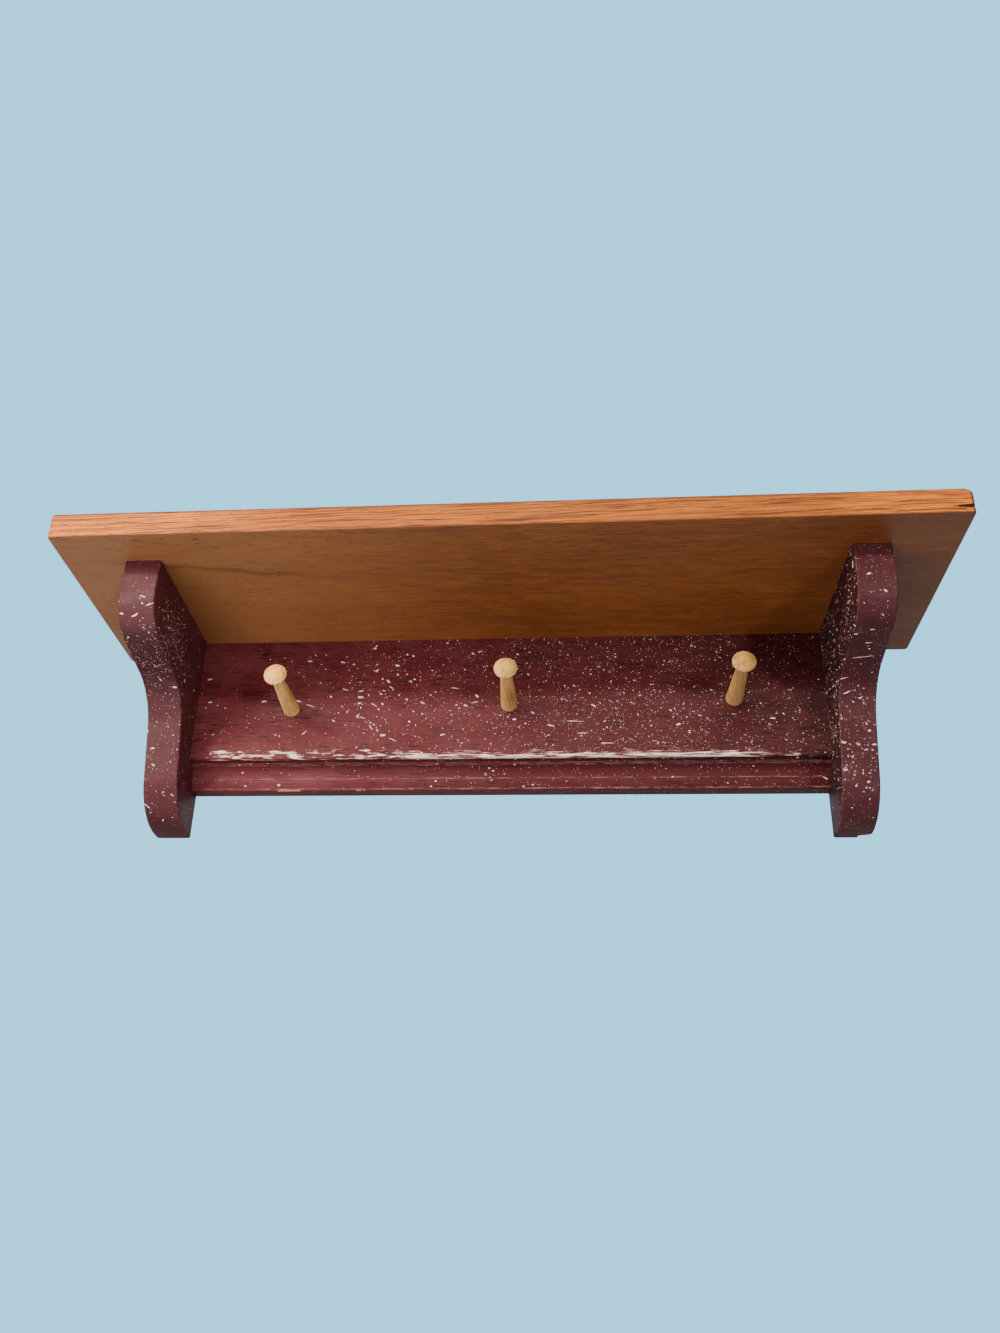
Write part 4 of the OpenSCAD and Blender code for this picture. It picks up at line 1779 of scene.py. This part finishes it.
class DropScatter(GeometrySheet):
    """The tree that scatters flattened drops over painted faces."""

    # Name of the attribute that tells a drop which way its paint faces
    LIE = "lie"
    # Facets round a drop and from its foot to its crown
    FACETS = (8, 5)
    # A drop's height as a share of its width, and at most in millimetres
    HEIGHT_SHARE = 0.22
    MOST_HEIGHT = 0.2
    # Size of the patches that the drops lie in, and of the wandering of a drop's outline
    PATCH = 9.0
    WANDER = 0.7
    # How far that outline wanders
    WANDER_REACH = 0.55
    # How squarely a face has to look the flick's way to be hit
    SQUARELY = 0.6

    def __init__(self) -> None:
        """Builds the tree."""
        super().__init__("drops")
        names = ("Density", "Core", "Reach", "Smallest", "Largest", "Skew", "Stretch", "Turn")
        self.given = {name: self.ask(name) for name in (*names, "Lowest", "Low share")}
        self.given |= {name: self.ask(name, "Vector") for name in ("Centre", "Heading", "Looks")}
        self.seed = self.ask("Seed", "Int")
        finish = self.ask("Finish", "Material")
        feeds = {"Mesh": self.source, "Density": self.given["Density"], "Seed": self.seed}
        points = self.add("GeometryNodeDistributePointsOnFaces", feeds).outputs
        self.place = self.add("GeometryNodeInputPosition").outputs[0]
        kept = self.landed(points["Normal"])
        feeds = {"Geometry": points["Points"], "Name": self.LIE, "Value": points["Normal"]}
        kinds = {"data_type": "FLOAT_VECTOR", "domain": "POINT"}
        stored = self.add("GeometryNodeStoreNamedAttribute", feeds, **kinds).outputs[0]
        feeds = {"Segments": self.FACETS[0], "Rings": self.FACETS[1], "Radius": 1.0}
        drop = self.add("GeometryNodeMeshUVSphere", feeds).outputs[0]
        feeds = {"Points": stored, "Selection": kept, "Instance": drop}
        feeds |= {"Rotation": self.lying(points["Rotation"]), "Scale": self.size()}
        strewn = self.add("GeometryNodeInstanceOnPoints", feeds).outputs[0]
        self.close(self.ragged(strewn), finish)

    def landed(self, normal: Socket) -> Socket:
        """Works out which places hold a drop.

        Args:
            normal: Which way the paint faces at each place.

        Returns:
            1 where a drop landed.
        """
        core, reach, centre = (self.given[name] for name in ("Core", "Reach", "Centre"))
        thinning = self.rest(self.band(self.measure("DISTANCE", self.place, centre), core, reach))
        patch = self.noise(self.scaled(self.place, 1 / (self.PATCH * MM)))
        low = self.math("LESS_THAN", self.split(self.place)[2], self.given["Lowest"])
        missing = self.times(low, self.rest(self.given["Low share"]))
        looks = self.given["Looks"]
        turned = self.measure("DOT_PRODUCT", normal, looks)
        need = self.times(self.measure("DOT_PRODUCT", looks, looks), self.SQUARELY)
        missed = self.math("LESS_THAN", self.minus(turned, need), -0.01)
        shares = (self.band(patch, 0.24, 0.58), self.rest(missing), self.rest(missed))
        thinning = self.times(thinning, *shares)
        return self.math("LESS_THAN", self.chance(0.0, 1.0, self.seed, 1), thinning)

    def size(self) -> Socket:
        """Works out each drop's half length, half width and height.

        Returns:
            The three as one vector, in metres.
        """
        smallest, largest, stretch = (self.given[n] for n in ("Smallest", "Largest", "Stretch"))
        share = self.math("POWER", self.chance(0.0, 1.0, self.seed, 2), self.given["Skew"])
        width = self.total(smallest, (share, self.minus(largest, smallest)))
        long_share = self.math("POWER", self.chance(0.0, 1.0, self.seed, 3), 3.0)
        length = self.times(width, self.total(1.0, (self.minus(stretch, 1.0), long_share)))
        height = self.math("MINIMUM", self.times(width, self.HEIGHT_SHARE), self.MOST_HEIGHT * MM)
        return self.join(self.times(length, 0.5), self.times(width, 0.5), height)

    def lying(self, rotation: Socket) -> Socket:
        """Turns each drop flat on its face and along the flick, give or take its own turn.

        Args:
            rotation: The turn that lays a drop flat on its face.

        Returns:
            The drop's whole turn.
        """
        feeds = {"Rotation": rotation, "Vector": self.given["Heading"]}
        align = self.add("FunctionNodeAlignRotationToVector", feeds, axis="X", pivot_axis="Z")
        turn = self.given["Turn"]
        angle = self.chance(self.times(turn, -1.0), turn, self.seed, 4)
        spin = self.add("FunctionNodeEulerToRotation", {0: self.join(0.0, 0.0, angle)}).outputs[0]
        feeds = {"Rotation": align.outputs[0], "Rotate By": spin}
        return self.add("FunctionNodeRotateRotation", feeds, rotation_space="LOCAL").outputs[0]

    def ragged(self, strewn: Socket) -> Socket:
        """Makes each drop's outline wander, level with its face.

        Args:
            strewn: The drops as instances.

        Returns:
            The drops as one mesh.
        """
        real = self.add("GeometryNodeRealizeInstances", {0: strewn}).outputs[0]
        where = self.scaled(self.place, 1 / (self.WANDER * MM))
        wander = self.vector("SUBTRACT", self.noise(where, 1.0, result="Color"), (0.5, 0.5, 0.5))
        wander = self.scaled(wander, self.WANDER_REACH * MM)
        feeds = {"Name": self.LIE}
        lie = self.add("GeometryNodeInputNamedAttribute", feeds, data_type="FLOAT_VECTOR").outputs[0]
        upward = self.scaled(lie, self.measure("DOT_PRODUCT", wander, lie))
        feeds = {0: real, "Offset": self.vector("SUBTRACT", wander, upward)}
        moved = self.add("GeometryNodeSetPosition", feeds).outputs[0]
        return self.add("GeometryNodeRemoveAttribute", {0: moved, "Name": self.LIE}).outputs[0]


@dataclass
class FleckedPaint:
    """The white drops on one painted piece."""

    name: str
    piece: Piece
    finishes: Finishes
    scatter: DropScatter
    flicks: tuple[Flick, ...]
    dabs: tuple[Dab, ...]
    seed: int
    # How far drops stay from the piece's rear face and from its top joint
    rear_room: float = 1.5
    top_room: float = 0.1
    # Faces smaller than this many square millimetres are the facets of a peg's hole
    hole_facet: float = 0.4
    # A dab's height over the paint, and the share of its size and height at each ring
    dab_height: float = 0.16
    dab_rings: tuple[tuple[float, float], ...] = ((0.8, -0.5), (1.0, 0.0), (0.86, 0.6), (0.45, 0.95))
    dab_sides: int = 20
    # Waves round a dab's outline and their depths, and how far its ends curl aside
    dab_waves: tuple[tuple[int, float], ...] = ((2, 0.13), (3, 0.10), (5, 0.07), (7, 0.05))
    dab_curl: float = 0.35

    def canvas(self) -> Mesh:
        """Copies the faces that paint could fall on.

        Returns:
            The open mesh of those faces.
        """
        high = self.piece.bound_box[6]
        mesh = bpy.data.meshes.new("canvas")
        with workbench(mesh, self.piece.data) as solid:
            hidden = []
            for face in solid.faces:
                middle = face.calc_center_median()
                rear = middle.y > high[1] - self.rear_room * MM or face.normal.y > 0.5
                top = middle.z > high[2] - self.top_room * MM
                in_hole = face.calc_area() < self.hole_facet * MM**2 and face.normal.y > -0.2
                if rear or top or in_hole:
                    hidden.append(face)
            bmesh.ops.delete(solid, geom=hidden, context="FACES")
        return mesh

    def dabbed(self) -> Mesh:
        """Makes the drops that are listed one by one, each with its own ragged outline.

        Returns:
            The drops as one mesh.
        """
        ground = BVHTree.FromPolygons(
            [v.co for v in self.piece.data.vertices],
            [p.vertices for p in self.piece.data.polygons],
        )
        draw = random.Random(self.seed)
        mesh = bpy.data.meshes.new("dabs")
        with workbench(mesh) as solid:
            for dab in self.dabs:
                spot, normal, _, _ = ground.find_nearest(mm(dab.spot))
                level = Vector((1, 0, 0))
                if abs(normal.x) > 0.7:
                    level = Vector((0, -normal.x, 0)).normalized()
                level = (level - normal * level.dot(normal)).normalized()
                lie = Matrix((level, normal.cross(level), normal)).transposed().to_4x4()
                lie.translation = spot
                turned = lie @ Matrix.Rotation(math.radians(dab.angle), 4, "Z")
                rings = self.outline(dab, draw)
                add_shell(solid, [[turned @ mm(point) for point in ring] for ring in rings])
            bmesh.ops.recalc_face_normals(solid, faces=solid.faces)
        return mesh

    def outline(self, dab: Dab, draw: random.Random) -> list[list[Point]]:
        """Lays out one domed drop, with X along it and Z out of the paint.

        Args:
            dab: What the drop is like.
            draw: Source of its ragged outline.

        Returns:
            Its rings from foot to crown, in millimetres.
        """
        phases = [draw.uniform(0, math.tau) for _ in self.dab_waves]
        curl = draw.uniform(-self.dab_curl, self.dab_curl)
        rings: list[list[Point]] = [[] for _ in self.dab_rings]
        for i in range(self.dab_sides):
            a = math.tau * i / self.dab_sides
            waves = zip(self.dab_waves, phases)
            ragged = 1 + sum(depth * math.sin(count * a + phase) for (count, depth), phase in waves)
            for ring, (share, height) in zip(rings, self.dab_rings):
                x = math.cos(a) * ragged * share
                y = math.sin(a) * ragged * share * (1 - dab.tail * (0.5 + 0.5 * x))
                y = y * dab.width / 2 + curl * dab.width * (x * x - 0.3)
                ring.append((x * dab.length / 2, y, height * self.dab_height))
        return rings

    def build(self) -> Piece:
        """Builds and dresses the drops.

        Returns:
            The finished drops.
        """
        finish = self.finishes.drops
        seeds = (self.seed + 10 * i for i in range(len(self.flicks)))
        inputs = [flick.inputs(seed, finish) for flick, seed in zip(self.flicks, seeds)]
        meshes = [self.scatter.run(self.canvas(), values) for values in inputs]
        joined = bpy.data.meshes.new(self.name)
        with workbench(joined) as solid:
            for mesh in [*meshes, self.dabbed()]:
                solid.from_mesh(mesh)
            for face in solid.faces:
                face.smooth = True
                face.material_index = 0
        return dress(as_piece(self.name, joined, finish))


@dataclass
class Hardware:
    """Plugs, screws and keyhole plates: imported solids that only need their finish."""

    finishes: Finishes

    def build(self) -> None:
        """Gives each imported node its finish, by how its name ends."""
        kinds = {
            "top_plugs": self.finishes.shelf_wood,
            "left_side_plugs": self.finishes.bracket_paint[Side.LEFT],
            "right_side_plugs": self.finishes.bracket_paint[Side.RIGHT],
            "hanger": self.finishes.plate_zinc,
            "screws": self.finishes.screw_zinc,
        }
        for name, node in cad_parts.items():
            for ending, finish in kinds.items():
                if not name.endswith(ending):
                    continue
                for slot in node.material_slots:
                    slot.material = finish
                log.info("%s: %s", name, finish.name)


@dataclass(frozen=True)
class Lamp:
    """A soft light, placed by its direction from the shelf."""

    name: str
    # Degrees to the right of straight in front, and degrees above level
    azimuth: float
    elevation: float
    distance: float
    width: float
    height: float
    power: float
    tint: Colour = (1.0, 1.0, 1.0)
    # Angle of the beam in degrees, or nought for an oblong light that shines all over, and the
    # share of the beam over which it fades
    cone: float = 0.0
    fade: float = 0.3

    def build(self, target: Vector) -> None:
        """Places the light.

        Args:
            target: The point that it is turned towards.
        """
        data = bpy.data.lights.new(self.name, "SPOT" if self.cone else "AREA")
        if self.cone:
            data.spot_size = math.radians(self.cone)
            data.spot_blend = self.fade
            data.shadow_soft_size = self.width / 2
        else:
            data.shape = "RECTANGLE"
            data.size, data.size_y = self.width, self.height
        data.energy = self.power
        data.color = self.tint
        lamp = bpy.data.objects.new(self.name, data)
        bpy.context.scene.collection.objects.link(lamp)
        turn, rise = math.radians(self.azimuth), math.radians(self.elevation)
        level = math.cos(rise)
        away = Vector((math.sin(turn) * level, -math.cos(turn) * level, math.sin(rise)))
        lamp.location = target + away * self.distance
        lamp.rotation_euler = away.to_track_quat("Z", "Y").to_euler()


@dataclass
class Studio:
    """Camera, plain pale floor and plain soft light. Its lengths are metres."""

    # The camera's place and its turn in degrees, worked out from the photograph
    camera_place: Point = (0.0360, -0.5478, -0.3174)
    camera_turn: Point = (114.6613, -1.9624, 4.9047)
    # Focal length and sensor width in millimetres, and the nearest thing the camera sees
    lens: float = 29.762
    sensor: float = 36.0
    shift: tuple[float, float] = (0.02382, 0.09421)
    nearest: float = 0.01
    floor_height: float = -0.9
    floor_width: float = 8.0
    floor_thickness: float = 0.02
    # What the camera sees round the shelf, and the softer light that reaches the shelf from
    # in front of it and from behind it
    backdrop: Colour = (0.42, 1.30, 1.85)
    front_fill: Colour = (0.115, 0.120, 0.125)
    rear_fill: Colour = (0.33, 0.40, 0.46)
    # How far towards the back, and how far below and above level, that light changes over
    rear_change: tuple[float, float] = (-0.1, 0.5)
    level_change: tuple[float, float] = (-0.3, 0.2)
    # Share of that light that comes from below level
    low_share: float = 0.55
    lamps: tuple[Lamp, ...] = (
        Lamp("left", -48.0, 12.0, 0.8, 0.3, 0.3, 8.5, (1.0, 0.86, 0.70)),
        Lamp("key", -14.0, 21.5, 1.3, 1.4, 0.05, 13.5, (1.0, 0.88, 0.76)),
        Lamp("low_left", -38.0, -46.0, 0.8, 0.8, 0.6, 4.6, (1.0, 0.90, 0.80)),
        Lamp("low_right", 30.0, -10.0, 2.6, 0.15, 0.15, 100.0, (1.0, 0.88, 0.76), cone=17.0),
        Lamp("overhead", 0.0, 88.0, 2.2, 1.6, 1.6, 30.0),
        Lamp("rear", 180.0, 50.0, 3.0, 2.4, 2.4, 60.0, (1.0, 0.96, 0.90)),
    )

    def build(self) -> None:
        """Builds the whole studio."""
        self.place_camera()
        self.lay_floor()
        self.surround()
        low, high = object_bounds()
        for lamp in self.lamps:
            lamp.build((low + high) / 2)

    def surround(self) -> None:
        """Sets the pale backdrop, and the even light that comes from all round."""
        world = bpy.data.worlds.new("studio")
        world.use_nodes = True
        sheet = NodeSheet(world.node_tree)
        sheet.tree.nodes.clear()
        _, rearward, up = sheet.split(sheet.add("ShaderNodeTexCoord").outputs["Generated"])
        behind = sheet.band(rearward, *self.rear_change)
        fill = sheet.blend(behind, self.front_fill, self.rear_fill)
        above = sheet.band(up, *self.level_change)
        fill = sheet.scaled(fill, sheet.total(self.low_share, (above, 1.0 - self.low_share)))
        seen = sheet.add("ShaderNodeLightPath").outputs["Is Camera Ray"]
        feeds = {"Color": sheet.blend(seen, fill, self.backdrop)}
        glow = sheet.add("ShaderNodeBackground", feeds).outputs[0]
        sheet.add("ShaderNodeOutputWorld", {"Surface": glow})
        bpy.context.scene.world = world

    def place_camera(self) -> None:
        """Puts the camera where the photograph was taken."""
        data = bpy.data.cameras.new("camera")
        data.lens = self.lens
        data.sensor_width = self.sensor
        data.shift_x, data.shift_y = self.shift
        data.clip_start = self.nearest
        camera = bpy.data.objects.new("camera", data)
        bpy.context.scene.collection.objects.link(camera)
        camera.location = self.camera_place
        camera.rotation_euler = Euler([math.radians(a) for a in self.camera_turn])
        bpy.context.scene.camera = camera

    def lay_floor(self) -> None:
        """Lays the floor, a thin slab well below the shelf that throws no light back at it."""
        size = (self.floor_width, self.floor_width, self.floor_thickness)
        middle = (0, 0, self.floor_height - self.floor_thickness / 2)
        mesh = bpy.data.meshes.new("floor")
        with workbench(mesh) as solid:
            bmesh.ops.create_cube(solid, size=1.0)
            bmesh.ops.scale(solid, vec=size, verts=solid.verts)
            bmesh.ops.translate(solid, vec=middle, verts=solid.verts)
        floor = as_piece("floor", mesh, PaleFloor("pale_floor").material())
        floor.visible_diffuse = False
        floor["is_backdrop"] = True


BOARD_FLICKS = (
    Flick((45, -19, 8), 40, 150, 13.0, 0.17, 0.52, 3.5, 1.8, turn=90, low_share=0.08),
    Flick((10, -19, -28), 60, 130, 2.8, 0.26, 0.95, 2.5, 2.8, low_share=0.1),
    Flick((-68, -19, -12), 12, 44, 3.6, 0.32, 1.3, 2.5, 2.8),
    Flick((112, -19, -34), 46, 90, 11.0, 0.18, 0.70, 3.5, 2.6, turn=60, low_share=0.08),
    Flick((-120, -19, -26), 60, 110, 1.6, 0.25, 0.75, 3.0, 2.2, turn=90),
    Flick((20, -19, -60), 90, 190, 1.4, 0.20, 0.6, 3.0, 1.6, turn=90, lowest=-100),
)
# Small drops that ran down into the cove and onto the bead
COVE_DOTS = (
    (-145.8, -13.8, -54.0),
    (-139.3, -14.4, -53.9),
    (-144.9, -9.8, -56.9),
    (-123.5, -9.0, -64.5),
    (-142.6, -9.0, -64.7),
    (-36.0, -13.7, -54.0),
    (6.3, -12.8, -54.3),
    (-7.6, -10.9, -55.5),
    (-5.6, -9.9, -56.8),
    (-9.6, -9.2, -58.5),
    (11.1, -8.5, -65.5),
    (16.1, -9.0, -64.7),
    (-39.2, -8.7, -65.3),
)
BOARD_DABS = (
    *(Dab(spot, 1.1, 0.9) for spot in COVE_DOTS),
    Dab((39, -19, -31.5), 8.5, 0.6, -3, 0.6),
    Dab((56, -19, -45), 7.6, 0.6, 0, 0.6),
    Dab((43, -19, -38.8), 6.8, 0.5, 2, 0.6),
    Dab((170, -9, -62), 3.0, 0.7, -35),
    Dab((155.3, -16, -53), 2.2, 0.8, 80),
    Dab((-92, -19, 8), 2.4, 1.0, -15),
    Dab((-72, -19, 2), 2.1, 1.4, 30),
    Dab((-65, -19, -5), 2.4, 1.2, -40),
    Dab((-63, -19, -9), 3.3, 0.8, -35, 0.6),
    Dab((-89, -19, -10), 3.5, 0.6, -15, 0.5),
    Dab((-80, -19, -11), 3.1, 0.8, 5),
    Dab((-80, -19, -15), 3.3, 1.4, -10),
    Dab((-72, -19, -20), 4.4, 0.7, -35, 0.5),
    Dab((-81, -19, -27), 2.0, 1.1, 60),
    Dab((-78, -19, -28), 3.5, 0.7, -15, 0.7),
    Dab((-73, -19, -34), 3.1, 0.7, -55),
    Dab((-66, -19, -39), 2.9, 1.4, 0),
    Dab((-60, -19, -42), 6.0, 0.5, -28, 0.8),
    Dab((-45, -19, -19), 3.1, 0.8, -30),
    Dab((-27, -19, -10), 4.8, 0.6, -10, 0.4),
    Dab((-15, -19, -15), 2.6, 1.1, -40),
    Dab((-16, -19, -19), 4.8, 0.5, 12, 0.5),
    Dab((-21, -19, -21), 2.6, 0.8, -20),
    Dab((-33, -19, -39), 3.1, 0.8, 15),
    Dab((16, -19, -26), 2.6, 0.8, -25),
    Dab((6, -19, -30), 2.5, 1.0, 0),
    Dab((26, -19, -34), 4.6, 0.8, -15, 0.3),
    Dab((49, -19, -22), 3.6, 1.0, -35, 0.3),
    Dab((94, -19, -34), 2.5, 1.1, 20),
    Dab((144, -19, -31), 3.2, 0.8, -5),
    Dab((-115, -19, -17), 3.5, 1.1, -20, 0.6),
    Dab((-108, -19, -20), 5.1, 0.5, -22, 0.6),
    Dab((-110, -19, -37), 3.7, 0.5, 45),
    Dab((-135, -19, -17), 2.8, 1.4, 10),
    Dab((-168, -19, -2), 2.9, 1.0, 15),
    Dab((-166, -19, -17), 2.4, 0.9, 0),
    Dab((-111, -19, 9), 2.6, 0.9, -10),
    Dab((-124, -9, -64), 2.0, 0.9, 0),
)
LEFT_FLICKS = (
    Flick((-173, -66, -8), 10, 34, 38.0, 0.20, 0.65, 3.0, 1.8, (0, 1, -0.6), 90, -100),
    Flick((-180, -66, -12), 12, 34, 12.0, 0.20, 0.6, 3.0, 1.6, turn=90, lowest=-100),
    Flick((-183, -36, -48), 16, 48, 9.0, 0.20, 0.6, 3.0, 1.6, turn=90, lowest=-100),
    Flick((-183, -95, -5), 8, 26, 1.6, 0.3, 0.8, 2.5, 2.5, turn=60, lowest=-100),
    Flick((-192, -50, -20), 40, 90, 1.2, 0.25, 0.9, 3.0, 2.5, (0, 1, -0.4), 60, -100),
    Flick((-183, -25, -80), 15, 40, 2.5, 0.20, 0.6, 3.0, 1.8, turn=90, lowest=-100),
)
LEFT_DABS = (
    Dab((-179, -98, 0), 3.3, 0.9, -20, 0.3),
    Dab((-175, -97, -4), 4.8, 0.6, 20, 0.4),
    Dab((-183, -95, -9), 3.5, 1.2, 25, 0.3),
    Dab((-190, -95, -8), 2.4, 0.7, 0),
    Dab((-175, -50, -25), 2.8, 1.1, 5),
    Dab((-181, -64, -20), 2.4, 0.7, 0),
    Dab((-188, -35, -54), 2.6, 0.8, 0),
    Dab((-187, -33, -63), 1.8, 1.0, -40),
    Dab((-190, -24, -83), 3.9, 0.8, -45, 0.3),
    Dab((-173, -43, -17), 2.2, 0.8, -50),
)
TO_THE_LEFT = (-1.0, 0.0, 0.0)
RIGHT_FLICKS = (
    Flick((173, -60, 0), 45, 85, 13.0, 0.22, 0.65, 2.5, 3.2, (0, 0.3, -1), 45, -60, 0.5, TO_THE_LEFT),
    Flick((183, -35, -54), 12, 40, 18.0, 0.22, 0.9, 3.5, 1.8, turn=90, lowest=-100),
    Flick((183, -48, -28), 8, 26, 6.0, 0.22, 0.85, 3.0, 2.4, turn=90, lowest=-100),
    Flick((183, -98, 14), 8, 26, 2.4, 0.22, 0.6, 2.5, 1.6, turn=90, lowest=-100),
    Flick((183, -70, -18), 15, 40, 1.6, 0.25, 0.7, 3.0, 2.5, turn=60, lowest=-100),
    Flick((192, -50, -20), 40, 90, 1.2, 0.25, 0.9, 3.0, 2.5, (0, 1, -0.4), 60, -100),
    Flick((183, -26, -80), 15, 36, 3.0, 0.20, 0.6, 3.0, 1.8, turn=90, lowest=-100),
)
RIGHT_DABS = (
    Dab((181.5, -63, -21), 9.7, 0.6, 8, 0.5),
    Dab((182, -73, -19), 3.3, 0.6, 5, 0.3),
    Dab((177, -44, -30), 3.9, 0.8, 25, 0.4),
    Dab((175, -50, -25), 4.4, 0.5, 20, 0.5),
    Dab((175, -79, -17), 1.8, 1.1, 0),
    Dab((182, -82, -17), 2.4, 0.7, 0),
    Dab((175, -35, -54), 2.2, 1.4, -10),
    Dab((182, -35, -55), 2.0, 1.4, -30),
    Dab((188, -36, -48), 1.8, 1.2, 40),
    Dab((190, -34, -55), 2.2, 0.9, 0),
    Dab((175, -32, -68), 2.8, 0.9, -10),
    Dab((186, -30, -74), 1.7, 1.1, 0),
    Dab((184, -42, -32), 2.4, 0.8, 35),
    Dab((186, -97, -5), 2.2, 0.9, -45),
    Dab((179, -98, 4), 2.0, 1.1, 30),
    Dab((173, -95, 12), 4.2, 0.9, 70),
)


def main() -> None:
    """Builds the shelf's pieces in order, then the studio round them."""
    logging.basicConfig(level=logging.INFO, format="%(name)s: %(message)s")
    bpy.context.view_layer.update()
    finishes = Finishes.build()
    TopBoard(finishes).build()
    board = BackBoard(finishes).build()
    left = Bracket(Side.LEFT, finishes).build()
    right = Bracket(Side.RIGHT, finishes).build()
    turning = lathe()
    for node in PEG_PAINTED_LIGHT:
        Peg(node, finishes, turning).build()
    scatter = DropScatter()
    painted = (
        ("board_flecks", board, BOARD_FLICKS, BOARD_DABS, 11),
        ("left_bracket_flecks", left, LEFT_FLICKS, LEFT_DABS, 211),
        ("right_bracket_flecks", right, RIGHT_FLICKS, RIGHT_DABS, 411),
    )
    for name, piece, flicks, dabs, seed in painted:
        FleckedPaint(name, piece, finishes, scatter, flicks, dabs, seed).build()
    Hardware(finishes).build()
    Studio().build()
    log.info("sizes written")


if __name__ == "__main__":
    main()
